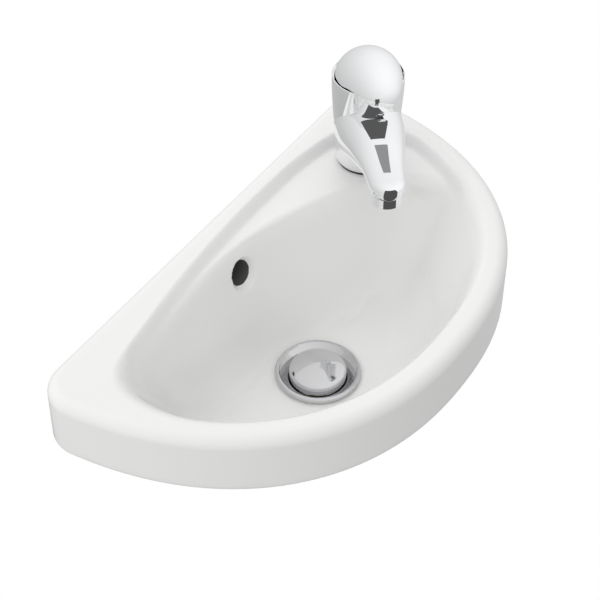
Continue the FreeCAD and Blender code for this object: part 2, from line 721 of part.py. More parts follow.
# ---------------------------------------------------------------- cartridge
def ports(low, high, radius):
    """Two inlets and the outlet, as rods through a level slice of the cartridge."""
    outlet = V(D.port_radius.value + 5, 0, low)
    inlets = [V(2, side * D.inlet_spacing.value / 2, low) for side in (-1, 1)]
    return [rod(radius, spot, V(0, 0, high - low)) for spot in [outlet] + inlets]


def cartridge_base():
    seat, radius = D.cartridge_seat.value, D.cartridge_radius.value
    inner = radius - D.cartridge_wall.value - D.soft_gap.value
    top = seat + D.cartridge_base_height.value
    solid = profile_turned([(0, seat), (radius, seat), (radius, seat + 2), (inner, seat + 2),
                            (inner, top), (0, top)])
    groove = D.port_radius.value + 1.5
    return solid.cut(ports(seat - 1, top + 1, D.port_radius.value)
                     + ports(seat - 1, seat + 1.5, groove))


def cartridge_seals():
    seat, bore = D.cartridge_seat.value, D.port_radius.value
    outer = ports(seat, seat + 1.45, bore + 1.2)
    inner = ports(seat - 1, seat + 2, bore)
    return Part.makeCompound([a.cut(b) for a, b in zip(outer, inner)])


def fixed_disc():
    low = D.cartridge_seat.value + D.cartridge_base_height.value
    high = low + D.fixed_disc_height.value
    radius = D.cartridge_radius.value - D.cartridge_wall.value - 1.2
    disc = rod(radius, V(0, 0, low), V(0, 0, high - low))
    return disc.cut(ports(low - 1, high + 1, D.port_radius.value))


def disc_top():
    return (D.cartridge_seat.value + D.cartridge_base_height.value
            + D.fixed_disc_height.value + D.moving_disc_height.value)


def moving_disc():
    low = disc_top() - D.moving_disc_height.value
    disc = rod(D.moving_disc_radius.value, V(0, 0, low), V(0, 0, D.moving_disc_height.value))
    return disc.cut(rod(D.port_radius.value * 1.8, V(3, 0, low - 1), V(0, 0, 3)))


def disc_driver():
    low = disc_top()
    solid = rod(D.moving_disc_radius.value, V(0, 0, low), V(0, 0, D.driver_height.value))
    pocket = rod(D.spindle_width.value / 2 + D.running_gap.value, V(0, 0, low + 3),
                 V(0, 0, D.driver_height.value))
    return solid.cut(pocket)


def housing_profile():
    low = D.cartridge_seat + 2
    shoulder = D.cartridge_seat + D.cartridge_height
    outer, wall = D.cartridge_radius, D.cartridge_wall
    neck_bore = D.rotor_radius + D.running_gap
    return [(outer - wall, low), (outer, low), (outer, shoulder), (D.neck_radius, shoulder),
            (D.neck_radius, D.neck_top), (neck_bore, D.neck_top),
            (neck_bore, shoulder - wall), (outer - wall, shoulder - wall)]


def rotor():
    shoulder = D.cartridge_seat.value + D.cartridge_height.value - D.cartridge_wall.value
    pivot, pin = D.dome_centre.value, D.pivot_pin.value / 2
    flange_low = disc_top() + D.driver_height.value + 0.8
    cheek_top = pivot + pin * 2
    flange_high = shoulder - 0.1
    solid = profile_turned([(0, flange_low), (D.rotor_radius.value + 2.6, flange_low),
                            (D.rotor_radius.value + 2.6, flange_high),
                            (D.rotor_radius.value, flange_high),
                            (D.rotor_radius.value, cheek_top), (0, cheek_top)])
    swing = math.radians(D.lever_lift.value)
    half = D.spindle_width.value / 2
    reach = half / math.cos(swing) + (pivot - flange_low) * math.tan(swing) + 0.6
    cheek = half + D.thread_gap.value
    slot = box(-reach, reach, -cheek, cheek, flange_low - 1, cheek_top + 1)
    hole = rod(pin + D.running_gap.value, V(0, -D.rotor_radius.value, pivot),
               V(0, 2 * D.rotor_radius.value, 0))
    return solid.cut([slot, hole])


def pivot_pin():
    reach = D.rotor_radius.value - 1.5
    return rod(D.pivot_pin.value / 2, V(0, -reach, D.dome_centre.value), V(0, 2 * reach, 0))


def spindle():
    half, pivot = D.spindle_width.value / 2, D.dome_centre.value
    ball = V(0, 0, pivot - D.spindle_tip_drop.value)
    shaft_low = ball.z + half * 1.6
    solid = box(-half, half, -half, half, shaft_low, D.spindle_top.value)
    neck = rod(half * 0.7, ball, V(0, 0, shaft_low - ball.z))
    solid = solid.fuse([neck, Part.makeSphere(half, ball)])
    return solid.cut(rod(D.pivot_pin.value / 2 + D.running_gap.value, V(0, -half - 1, pivot),
                         V(0, 2 * half + 2, 0)))


# ---------------------------------------------------------------- under the deck
def deck_underside():
    return -D.tap_gasket - D.deck_thickness


def horseshoe(low, height):
    radius, slot = D.washer_radius.value, D.tail_slot.value / 2
    base = V(0, 0, low)
    plate = rod(radius, base, V(0, 0, height))
    inner = D.port_radius.value + 1
    opening = box(inner, radius * 2, -slot, slot, low - 1, low + height + 1)
    mouth = rod(slot, V(inner, 0, low - 1), V(0, 0, height + 2))
    stud = rod(D.stud_size.value / 2 + D.soft_gap.value, V(-D.stud_offset.value, 0, low - 1),
               V(0, 0, height + 2))
    return plate.cut([opening, mouth, stud])


# ---------------------------------------------------------------- waste
def flange_profile():
    bore, thread = D.waste_bore / 2, D.waste_thread / 2
    low = D.waste_seal - D.waste_length
    under, top = D.waste_seal, D.waste_seal + D.flange_height
    inner = D.flange_radius - D.flange_lip
    dish_low = top - 0.8 - D.dish_drop
    cone = D.waste_mouth / 2 - 0.5
    groove = -D.outlet_length - D.cone_washer - D.slip_washer - D.backnut_height
    relief = D.thread_relief
    return [(bore, low), (thread, low), (thread, groove - relief),
            (thread - relief / 2, groove - relief), (thread - relief / 2, groove),
            (thread, groove), (thread, -D.waste_cone + 1), (cone, as_length(0)),
            (cone, under), (D.flange_radius, under), (D.flange_radius, top - 1.5),
            (D.flange_radius - 0.6, top - 0.6), (D.flange_radius - 1.6, top),
            (inner + 1, top), (inner + 0.2, top - 0.8), (bore + 0.8, dish_low),
            (bore, dish_low - 1)]


def waste_flange():
    solid = profile_turned(flange_profile())
    bore, thread = D.waste_bore.value / 2, D.waste_thread.value
    bar_top = -D.crossbar_drop.value
    bar_low = bar_top - D.crossbar_height.value
    half = D.crossbar_width.value / 2
    bar = box(-bore - 0.3, bore + 0.3, -half, half, bar_low, bar_top)
    hub = rod(D.sleeve_radius.value + 0.5, V(0, 0, bar_low), V(0, 0, bar_top - bar_low))
    solid = solid.fuse([bar, hub])
    slots = [box(-D.slot_width.value / 2, D.slot_width.value / 2, bore * 0.7, thread,
                 -D.slot_top.value - D.slot_height.value, -D.slot_top.value)]
    slots.append(slots[0].copy())
    slots[1].rotate(V(0, 0, 0), Z_AXIS, 180)
    sleeve = rod(D.sleeve_thread.value + D.thread_gap.value, V(0, 0, bar_low - 1),
                 V(0, 0, bar_top - bar_low + 2))
    return solid.cut(slots + [sleeve])


def sleeve_profile():
    floor = -D.sleeve_drop + D.sleeve_floor
    head_low, head_top = -D.crossbar_drop, -D.crossbar_drop + 11
    bore = D.plunger_radius + D.running_gap
    return [(as_length(0), -D.sleeve_drop), (D.sleeve_thread, -D.sleeve_drop),
            (D.sleeve_thread, head_low), (D.sleeve_radius, head_low),
            (D.sleeve_radius, head_top), (bore, head_top), (bore, floor),
            (as_length(0), floor)]


def plunger_profile():
    top = -D.plug_sink
    seal_low = top - D.plug_seal_height
    rod_radius = D.plunger_radius
    return [(as_length(0), top - D.plunger_length), (rod_radius, top - D.plunger_length),
            (rod_radius, seal_low - 1.3), (rod_radius + 2.4, seal_low - 1.3),
            (rod_radius + 2.4, seal_low), (rod_radius, seal_low), (rod_radius, top),
            (as_length(0), top)]


def click_spring():
    """Coil spring between the sleeve's floor and the plunger."""
    wire = D.spring_wire.value
    floor = -D.sleeve_drop.value + D.sleeve_floor.value
    low = floor + wire / 2 + 0.05
    high = -D.plug_sink.value - D.plunger_length.value - wire / 2 - 0.05
    radius = D.plunger_radius.value - wire / 2 - 0.2
    helix = Part.makeHelix((high - low) / D.spring_turns.value, high - low, radius)
    helix.translate(V(0, 0, low))
    section = Part.Wire(Part.makeCircle(wire / 2, V(radius, 0, low), V(0, 1, 0)))
    return Part.Wire(helix.Edges).makePipeShell([section], True, True)


def plug():
    """Shallow dome over an upright edge."""
    radius, low = D.plug_radius.value, -D.plug_sink.value
    edge, rise = D.plug_edge.value, D.plug_rise.value
    ball = (radius ** 2 + rise ** 2) / (2 * rise)
    cap = Part.makeSphere(ball, V(0, 0, low + edge + rise - ball))
    solid = rod(radius, V(0, 0, low), V(0, 0, edge + rise + 1)).common(cap)
    rim = [item for item in solid.Edges
           if abs(item.BoundBox.XMax - radius) < 0.01 and item.BoundBox.ZMin > low + edge / 2
           and item.BoundBox.ZLength < 0.01]
    return solid.makeFillet(D.plug_shoulder.value, rim)


def cone_washer_profile():
    inner = D.waste_thread / 2 + D.soft_gap
    top = -D.outlet_length
    low = top - D.cone_washer
    return [(inner, low), (D.washer_reach, low), (D.washer_reach - 4, top), (inner, top)]


# ---------------------------------------------------------------- the assembly
def hexagon_nut(label, flats, low, height, centre, bore, place):
    body = doc.addObject("PartDesign::Body", label)
    body.Label = label
    body.Tip = nut_across_flats(body, label, flats, low, height, (centre, bore))
    return put(body, place)


def build_ceramic():
    keep_shape("basin_body", basin_body(), rim_place())


def build_tap():
    here, turned_place = tap_place(), lever_place()
    keep_shape("tap_body", tap_body(), here)
    ring("tap_gasket", D.tap_hole / 2 - 1.5, D.tap_base_radius - D.foot_rounding + 2.5,
         -D.tap_gasket, as_length(0), here)
    keep_shape("cartridge_base", cartridge_base(), here)
    keep_shape("cartridge_seals", cartridge_seals(), here)
    keep_shape("fixed_disc", fixed_disc(), here)
    turned("cartridge_housing", housing_profile(), here)
    nut_low = D.cartridge_seat + D.cartridge_height
    ring("cartridge_nut", D.neck_radius + D.soft_gap,
         D.cartridge_radius + D.soft_gap + 2 - D.thread_gap, nut_low,
         nut_low + D.nut_height, here)
    keep_shape("rotor", rotor(), turned_place)
    keep_shape("pivot_pin", pivot_pin(), turned_place)
    keep_shape("moving_disc", moving_disc(), turned_place)
    keep_shape("disc_driver", disc_driver(), turned_place)
    keep_shape("spindle", spindle(), turned_place)
    keep_shape("lever", lever(), turned_place)
    keep_shape("grub_screw", grub_screw(), turned_place)
    keep_shape("index_cap", index_cap(), turned_place)


def nozzle_place():
    x, y, z, turn = tap_place()
    angle = math.radians(turn.value)
    reach = D.spout_reach
    across = Length(reach.value * math.cos(angle), "Dims.spout_reach * cos(%s * 1deg)" % turn.text)
    along = Length(reach.value * math.sin(angle), "Dims.spout_reach * sin(%s * 1deg)" % turn.text)
    return x + across, y + along, z + D.nozzle_height, turn


def build_aerator():
    here = nozzle_place()
    outer, low = D.aerator_radius, -D.aerator_ring_height
    bore = D.aerator_insert_radius + D.running_gap
    thread, top = D.aerator_thread, D.aerator_thread_length
    turned("aerator_ring", [(bore - 1.2, low), (outer - 0.8, low), (outer, low + 0.8),
                            (outer, as_length(0)), (thread, as_length(0)), (thread, top),
                            (bore, top), (bore, low + 1.5), (bore - 1.2, low + 1.5)], here)
    keep_shape("aerator_insert", aerator_insert(), here)
    ring("aerator_seal", D.aerator_insert_radius - 0.6, thread - 0.3, top, top + 1, here)


def aerator_insert():
    """Flow former: a cup whose lower face is a honeycomb of small holes."""
    low, top = -D.aerator_ring_height.value + 1.5, D.aerator_thread_length.value
    radius = D.aerator_insert_radius.value
    cup = rod(radius, V(0, 0, low), V(0, 0, top - low))
    cup = cup.cut(rod(radius - 1.2, V(0, 0, low + 2), V(0, 0, top - low)))
    pitch, hole = radius / 3.6, radius / 3.6 * 0.4
    holes = []
    for row in range(-3, 4):
        for column in range(-3, 4):
            spot = V(pitch * (column + row / 2), pitch * row * math.sqrt(3) / 2, low - 1)
            if math.hypot(spot.x, spot.y) < radius - 1.2 - hole:
                holes.append(rod(hole, spot, V(0, 0, 4)))
    return cup.cut(holes)


def build_fixings():
    here = tap_place()
    under = deck_underside()
    rubber, metal = D.rubber_washer, D.metal_washer
    keep_shape("rubber_horseshoe", horseshoe((under - rubber).value, rubber.value), here)
    keep_shape("metal_horseshoe", horseshoe((under - rubber - metal).value, metal.value), here)
    hexagon_nut("stud_nut", D.stud_nut_width.value, under - rubber - metal - D.stud_nut_height,
                D.stud_nut_height, -D.stud_offset, D.stud_size / 2 + D.thread_gap, here)
    stud = doc.addObject("Part::Cylinder", "fixing_stud")
    stud.Label = "fixing_stud"
    stud.setExpression("Radius", (D.stud_size / 2).text)
    stud.setExpression("Height", D.stud_length.text)
    x, y, z, turn = here
    angle = math.radians(turn.value)
    back = D.stud_offset
    put(stud, (x - Length(back.value * math.cos(angle),
                          "Dims.stud_offset * cos(%s * 1deg)" % turn.text),
               y - Length(back.value * math.sin(angle),
                          "Dims.stud_offset * sin(%s * 1deg)" % turn.text),
               z + D.stud_in_body - D.stud_length, turn))


def build_waste():
    here = waste_place()
    thread = D.waste_thread / 2
    keep_shape("waste_flange", waste_flange(), here)
    ring("waste_seal", D.waste_mouth / 2, D.flange_radius - 1, as_length(0), D.waste_seal, here)
    turned("cone_washer", cone_washer_profile(), here)
    washer_top = -D.outlet_length - D.cone_washer
    ring("slip_washer", thread + D.soft_gap, D.washer_reach, washer_top - D.slip_washer,
         washer_top, here)
    hexagon_nut("backnut", D.backnut_width.value,
                washer_top - D.slip_washer - D.backnut_height, D.backnut_height,
                as_length(0), thread + D.thread_gap, here)
    turned("click_sleeve", sleeve_profile(), here)
    keep_shape("click_spring", click_spring(), here)
    turned("plunger", plunger_profile(), here)
    keep_shape("plug", plug(), here)
    ring("plug_seal", D.plunger_radius + D.soft_gap, D.plug_seal_radius,
         -D.plug_sink - D.plug_seal_height, -D.plug_sink, here)


def check_and_write():
    doc.recompute()
    for item in doc.Objects:
        if "Invalid" in item.State or "Error" in item.State:
            raise RuntimeError("%s did not compute: %s" % (item.Label, item.State))
    for node in NODES:
        if node.Shape.isNull() or not node.Shape.isValid() or node.Shape.Volume <= 0:
            raise RuntimeError("%s has no sound shape" % node.Label)
    os.makedirs("parts", exist_ok=True)
    for node in NODES:
        node.Shape.exportStep("parts/%s.step" % node.Label)
        box_of = node.Shape.BoundBox
        print("%-20s %9.1f mm3, %d solid(s), %.1f x %.1f x %.1f mm"
              % (node.Label, node.Shape.Volume, len(node.Shape.Solids),
                 box_of.XLength, box_of.YLength, box_of.ZLength))


build_ceramic()
build_tap()
build_aerator()
build_fixings()
build_waste()
check_and_write()
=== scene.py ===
"""Looks of a D-shaped cloakroom basin with its tap and waste, laid out as an add-on.

The drawings below are in millimetres and are scaled to metres when a mesh is made. Heights count
from the rim in the ceramic's drawing, and from the foot or the seat in the tap's and the waste's.
"""
import math

import bmesh
import bpy
import numpy as np
from bpy.props import FloatProperty, IntProperty, PointerProperty
from mathutils import Matrix, Vector


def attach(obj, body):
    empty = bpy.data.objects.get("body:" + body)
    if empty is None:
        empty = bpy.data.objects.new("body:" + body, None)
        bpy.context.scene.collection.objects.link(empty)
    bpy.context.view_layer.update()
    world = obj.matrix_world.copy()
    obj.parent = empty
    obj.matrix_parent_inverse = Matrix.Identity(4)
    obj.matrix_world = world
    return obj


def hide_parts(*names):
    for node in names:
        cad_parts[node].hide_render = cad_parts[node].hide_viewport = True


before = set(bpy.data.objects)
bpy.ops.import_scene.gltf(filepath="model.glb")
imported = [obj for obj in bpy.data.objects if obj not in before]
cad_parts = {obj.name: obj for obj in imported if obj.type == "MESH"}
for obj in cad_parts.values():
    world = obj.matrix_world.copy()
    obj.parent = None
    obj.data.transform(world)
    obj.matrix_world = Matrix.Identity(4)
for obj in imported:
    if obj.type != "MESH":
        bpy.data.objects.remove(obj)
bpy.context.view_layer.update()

bl_info = {
    "name": "Cloakroom Basin",
    "version": (1, 0, 0),
    "blender": (4, 5, 0),
    "location": "View3D > Sidebar > Basin",
    "description": "Glazed basin, chrome tap and waste built around a CAD assembly",
    "category": "Add Mesh",
}

# Metres in a millimetre, how near points are merged, and how profiles are rounded and turned.
MM = 0.001
WELD = 0.002
BEND_STEPS = 6
HALF_SIDE = 0.49
TURN_STEPS = 128


# ---------------------------------------------------------------- settings
class BasinCeramicSettings(bpy.types.PropertyGroup):
    """Sizes of the glazed ceramic."""

    length: FloatProperty(
        name="Length", description="Along the wall", default=0.4, unit="LENGTH")
    depth: FloatProperty(
        name="Depth", description="From the wall to the front", default=0.219, unit="LENGTH")
    rim_rounding: FloatProperty(
        name="Rim rounding", description="Radius of the rim's outer edge", default=0.009,
        unit="LENGTH")
    mouth_softness: FloatProperty(
        name="Mouth softness", description="How far the bowl's edge is rounded", default=0.014,
        unit="LENGTH")
    around: IntProperty(
        name="Around", description="Faces round the outline", default=440, min=64)
    inward: IntProperty(
        name="Inward", description="Faces from the rim to the waste", default=176, min=32)
    whiteness: FloatProperty(
        name="Whiteness", description="Base colour of the glaze", default=0.86, min=0.0, max=1.0,
        subtype="FACTOR")


class BasinTapSettings(bpy.types.PropertyGroup):
    """Sizes of the tap."""

    foot_radius: FloatProperty(
        name="Foot radius", description="Tap body over its foot", default=0.0232, unit="LENGTH")
    collar_radius: FloatProperty(
        name="Collar radius", description="Tap body at its collar", default=0.027,
        unit="LENGTH")
    dome_radius: FloatProperty(
        name="Dome radius", description="Dome of the lever", default=0.0258, unit="LENGTH")
    spout_reach: FloatProperty(
        name="Spout reach", description="Tap axis to nozzle axis", default=0.092, unit="LENGTH")
    roughness: FloatProperty(
        name="Roughness", description="Roughness of the chrome", default=0.04, min=0.0,
        max=1.0, subtype="FACTOR")


class BasinWasteSettings(bpy.types.PropertyGroup):
    """Sizes of the waste."""

    plug_radius: FloatProperty(
        name="Plug radius", description="Outside of the domed plug", default=0.0215,
        unit="LENGTH")


class BasinStageSettings(bpy.types.PropertyGroup):
    """Camera and light."""

    lens: FloatProperty(
        name="Lens", description="Focal length of the camera", default=102.0, unit="CAMERA")
    key_power: FloatProperty(
        name="Key power", description="Power of the lamp over the back", default=2.3,
        unit="POWER")
    fill_power: FloatProperty(
        name="Fill power", description="Power of the low lamp at the left", default=0.8,
        unit="POWER")
    sky: FloatProperty(
        name="Sky", description="Strength of the light from all round", default=1.19, min=0.0)


# ---------------------------------------------------------------- places
# The tap's foot and the waste's seat in the frame, and the rim's height over its origin.
TAP_FOOT = Vector((136.0, -55.0, 68.0))
SPOUT_ANGLE = math.radians(220)
LEVER_ANGLE = math.radians(234)
WASTE = Vector((-4.0, -102.0, -23.0))
RIM_HEIGHT = 75.0
BOWL_DEPTH = 98.0
DECK_DROP = 8.5


def placed(origin, angle):
    """Matrix from a drawing in millimetres to the frame in metres."""
    return Matrix.Scale(MM, 4) @ Matrix.Translation(origin) @ Matrix.Rotation(angle, 4, "Z")


def finish_piece(name, mesh, body, replaced, material):
    """Links a finished mesh, already in the frame's metres, as one piece."""
    piece = bpy.data.objects.new(name, mesh)
    bpy.context.scene.collection.objects.link(piece)
    mesh.materials.clear()
    mesh.materials.append(material)
    for polygon in mesh.polygons:
        polygon.use_smooth = True
    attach(piece, body)
    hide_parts(*replaced)
    return piece


def mesh_of(name, work, matrix):
    """Turns a drawing into a mesh in the frame and frees the drawing."""
    bmesh.ops.recalc_face_normals(work, faces=work.faces[:])
    bmesh.ops.transform(work, matrix=matrix, verts=work.verts[:])
    mesh = bpy.data.meshes.new(name)
    work.to_mesh(mesh)
    work.free()
    return mesh


def rounded_profile(corners):
    """Points of a profile whose corners are (radius, height, rounding)."""
    points = []
    for index, (r, z, rounding) in enumerate(corners):
        here = Vector((r, z))
        if rounding <= 0 or index in (0, len(corners) - 1):
            points.append(here)
            continue
        before = Vector(corners[index - 1][:2]) - here
        after = Vector(corners[index + 1][:2]) - here
        a = here + before.normalized() * min(rounding, before.length * HALF_SIDE)
        b = here + after.normalized() * min(rounding, after.length * HALF_SIDE)
        for step in range(BEND_STEPS + 1):
            t = step / BEND_STEPS
            points.append(a * (1 - t) ** 2 + here * 2 * t * (1 - t) + b * t ** 2)
    return points


def turned_mesh(name, corners, matrix):
    """A full turn of a rounded profile about Z."""
    work = bmesh.new()
    verts = [work.verts.new((point.x, 0, point.y)) for point in rounded_profile(corners)]
    edges = [work.edges.new((a, b)) for a, b in zip(verts, verts[1:])]
    bmesh.ops.spin(work, geom=verts + edges, cent=(0, 0, 0), axis=(0, 0, 1),
                   dvec=(0, 0, 0), angle=2 * math.pi, steps=TURN_STEPS, use_merge=True,
                   use_duplicate=False)
    bmesh.ops.remove_doubles(work, verts=work.verts[:], dist=WELD)
    return mesh_of(name, work, matrix)


def strip_mesh(name, rings, matrix, cap_last=False, clear_radius=0):
    """Quads between successive closed rings, left out where they lie near the axis."""
    work = bmesh.new()
    rows = [[work.verts.new(point) for point in ring] for ring in rings]
    for low, high in zip(rows, rows[1:]):
        for index in range(len(low)):
            after = (index + 1) % len(low)
            work.faces.new((low[index], low[after], high[after], high[index]))
    if cap_last:
        work.faces.new(rows[-1])
    inner = [face for face in work.faces
             if face.calc_center_median().xy.length < clear_radius]
    bmesh.ops.delete(work, geom=inner, context="FACES")
    bmesh.ops.remove_doubles(work, verts=work.verts[:], dist=WELD)
    return mesh_of(name, work, matrix)


# ---------------------------------------------------------------- materials
# Tints of the two tones of the glaze, the grain's darker tone, and the chromes.
GLAZE_TINTS = ((1, 1, 0.992), (0.985, 0.985, 0.975))
GRAIN_SHADE = 0.88
CHROME_TINT = (0.93, 0.935, 0.945, 1)
PLUG_TINT = (0.66, 0.66, 0.67, 1)
FLANGE_TINT = (0.62, 0.62, 0.63, 1)
PLUG_DULLNESS = 1.5
FLANGE_DULLNESS = 2.2


def new_material(name):
    """A node-based material with its nodes, links and surface shader."""
    material = bpy.data.materials.new(name)
    material.use_nodes = True
    nodes = material.node_tree.nodes
    return material, nodes, material.node_tree.links, nodes["Principled BSDF"]


def tune(node, values):
    """Sets a node's inputs by name."""
    for name, value in values.items():
        node.inputs[name].default_value = value


def speckle(nodes, links, scale, detail):
    """Noise in the piece's own coordinates."""
    where = nodes.new("ShaderNodeTexCoord")
    noise = nodes.new("ShaderNodeTexNoise")
    tune(noise, {"Scale": scale, "Detail": detail})
    links.new(where.outputs["Object"], noise.inputs["Vector"])
    return noise.outputs["Fac"]


def mottle(nodes, links, shader, noise, tones):
    """Varies a surface's colour between two tones."""
    mix = nodes.new("ShaderNodeMix")
    mix.data_type = "RGBA"
    tune(mix, {socket: (*tone, 1) for socket, tone in zip("AB", tones)})
    links.new(noise, mix.inputs["Factor"])
    links.new(mix.outputs["Result"], shader.inputs["Base Color"])


def roughen(nodes, links, normal, noise, strength, distance):
    """Bumps a surface, at the normal input that is given."""
    bump = nodes.new("ShaderNodeBump")
    tune(bump, {"Strength": strength, "Distance": distance})
    links.new(noise, bump.inputs["Height"])
    links.new(bump.outputs["Normal"], normal)


def glaze_material(whiteness):
    """White glaze: a coat over a slightly uneven, faintly warm body."""
    material, nodes, links, shader = new_material("white_glaze")
    tune(shader, {"Roughness": 0.16, "IOR": 1.52, "Coat Weight": 0.35, "Coat Roughness": 0.05})
    cloud = speckle(nodes, links, scale=9.0, detail=2.0)
    tones = [[whiteness * channel for channel in tint] for tint in GLAZE_TINTS]
    mottle(nodes, links, shader, cloud, tones)
    peel = speckle(nodes, links, scale=160.0, detail=1.0)
    roughen(nodes, links, shader.inputs["Coat Normal"], peel, strength=0.012, distance=0.001)
    return material


def chrome_material(name, roughness, tint=CHROME_TINT):
    """Polished chrome with faint wiping marks in its roughness."""
    material, nodes, links, shader = new_material(name)
    tune(shader, {"Base Color": tint, "Metallic": 1.0})
    marks = speckle(nodes, links, scale=60.0, detail=3.0)
    spread = nodes.new("ShaderNodeMapRange")
    tune(spread, {"From Min": 0.3, "From Max": 0.7,
                  "To Min": roughness * 0.8, "To Max": roughness * 1.3})
    links.new(marks, spread.inputs["Value"])
    links.new(spread.outputs["Result"], shader.inputs["Roughness"])
    return material


def plain_material(name, colour, roughness, metallic=0.0, depth=0.05):
    """A uniform colour with a fine grain in its surface and tone."""
    material, nodes, links, shader = new_material(name)
    tune(shader, {"Metallic": metallic, "Roughness": roughness})
    grain = speckle(nodes, links, scale=200.0, detail=3.0)
    mottle(nodes, links, shader, grain,
           (colour, [channel * GRAIN_SHADE for channel in colour]))
    roughen(nodes, links, shader.inputs["Normal"], grain, strength=depth, distance=0.0005)
    return material


# ---------------------------------------------------------------- the ceramic's drawing
# The outline, the rim's widths, and how finely the curves are drawn.
OUTLINE_POWER = 2.25
END_CORNER = 27.0
RIMS = {"front": 20.0, "left": 34.0, "tap": 19.0, "back": 14.5}
CURVE_POINTS = 4001
CORNER_POINTS = 60
SEARCH_STEPS = 40
MOUTH_POINTS = 760
RECESS_POINTS = 900

# The bowl: seat of the waste, floor and walls, and how finely its heights are tabled.
SEAT_RADIUS = 34.0
FLOOR_FALL = math.radians(7)
FLOOR_ROUNDING = 30.0
WALL_RUN_ALONG = 54.0
WALL_RUN_ACROSS = 28.0
BOWL_BEARINGS = 361
BOWL_SHARES = 170
PAST_MOUTH = 1.12
WALL_BEND_LIMIT = 0.45
FLOOR_BEND_LIMIT = 0.75
FLOOR_BEND_POINTS = 24
OVER_EDGE = 0.4

# The step down to the deck, from outside its drawn edge inwards.
STEP_START = 1.5
STEP_WIDTH = 9.5

# The skin: rings over the rim, their crowding inwards, and where it ends.
RIM_RINGS = 10
RING_CROWDING = 1.2
SKIN_END = 30.0
TAP_HOLE_RADIUS = 17.5

# The overflow hole, its lip and the duct behind it, with the duct's heights in the frame's.
HOLE_DROP = 31.0
HOLE_ZONE = 13.0
HOLE_ZONE_TOP = 3.0
LIP_START = 12.4
LIP_WIDTH = 2.6
LIP_RADIUS = 9.8
LIP_DEPTH = 4.0
LIP_SQUEEZE = 0.95
FULLY_PRESSED = 0.999
BORE_RADIUS = 11.3
DUCT_FRONT = -23.4
DUCT_HALF_WIDTH = 12.2
DUCT_SPAN = (-23.6, -13.6)
DUCT_HEIGHTS = (-40.0, 60.0)
HOLE_WALL_FRONT = -60.0
HOLE_WALL_BACK = -20.0

# Which faces of the CAD ceramic the skin stands in for, how near they lie to it, and the angle
# past which an edge of the rest stays sharp. The weld is in metres.
CAD_WELD = 0.000005
TOP_MATCH = 3.0
BOWL_MATCH = 6.0
BOWL_TOP = 4.0
SEAT_MATCH = 1.0
RIM_MATCH = 9.3
FACING_UP = 0.02
SHARP_ANGLE = math.radians(35)


def curve_depth(x, length, depth):
    """Distance from the wall to the D outline at x."""
    share = np.clip(np.abs(2 * x / length), 0, 1)
    return depth * (1 - share ** OUTLINE_POWER) ** (1 / OUTLINE_POWER)


def outline_points(length, depth, count):
    """The D outline with its two rounded corners, evenly spaced, and its inward normals."""
    angle = np.linspace(0, math.pi, CURVE_POINTS)
    sine, cosine = np.sin(angle), np.cos(angle)
    curve = np.stack([
        np.sign(cosine) * np.abs(cosine) ** (2 / OUTLINE_POWER) * length / 2,
        -np.abs(sine) ** (2 / OUTLINE_POWER) * depth], axis=1)
    right = curve[:len(curve) // 2]
    low, high = length / 2 - 3 * END_CORNER, length / 2
    for _ in range(SEARCH_STEPS):
        middle = (low + high) / 2
        reach = np.hypot(right[:, 0] - middle, right[:, 1] + END_CORNER).min()
        low, high = (middle, high) if reach > END_CORNER else (low, middle)
    centre = np.array([low, -END_CORNER])
    touch = np.hypot(right[:, 0] - centre[0], right[:, 1] - centre[1]).argmin()
    end = math.atan2(right[touch, 1] - centre[1], right[touch, 0] - centre[0])
    turn = np.linspace(math.pi / 2, end, CORNER_POINTS)
    corner = centre + END_CORNER * np.stack([np.cos(turn), np.sin(turn)], axis=1)
    front = curve[touch + 1:len(curve) - touch - 1]
    other = corner[::-1] * np.array([-1, 1])
    loop = np.concatenate([corner, front, other, corner[:1]])
    steps = np.hypot(*np.diff(loop, axis=0).T)
    run = np.concatenate([[0], np.cumsum(steps)])
    even = np.linspace(0, run[-1], count, endpoint=False)
    points = np.stack([np.interp(even, run, loop[:, axis]) for axis in (0, 1)], axis=1)
    along = np.roll(points, -1, axis=0) - np.roll(points, 1, axis=0)
    along /= np.hypot(*along.T)[:, None]
    return points, np.stack([along[:, 1], -along[:, 0]], axis=1)


def rim_spot(x, rim, length, depth):
    """A point the rim's width in from the outline at x."""
    slope = float(curve_depth(x + 0.5, length, depth) - curve_depth(x - 0.5, length, depth))
    across = math.hypot(slope, 1)
    return (x + rim * slope / across, float(-curve_depth(x, length, depth)) + rim / across)


def smooth_loop(points, count):
    """A closed curve through points: cubic pieces with slopes taken from both neighbours."""
    points = np.array(points, float)
    size = len(points)
    chords = np.hypot(*(np.roll(points, -1, axis=0) - points).T) ** 0.5
    tangents = np.zeros_like(points)
    for index in range(size):
        before, after = chords[index - 1], chords[index]
        back = (points[index] - points[index - 1]) / before
        fore = (points[(index + 1) % size] - points[index]) / after
        tangents[index] = (back * after + fore * before) / (before + after)
    rows = []
    each = count // size + 1
    for index in range(size):
        a, b = points[index], points[(index + 1) % size]
        ta, tb = tangents[index] * chords[index], tangents[(index + 1) % size] * chords[index]
        for t in np.linspace(0, 1, each, endpoint=False):
            rows.append(a * (2 * t ** 3 - 3 * t ** 2 + 1) + ta * (t ** 3 - 2 * t ** 2 + t)
                        + b * (3 * t ** 2 - 2 * t ** 3) + tb * (t ** 3 - t ** 2))
    return np.array(rows)


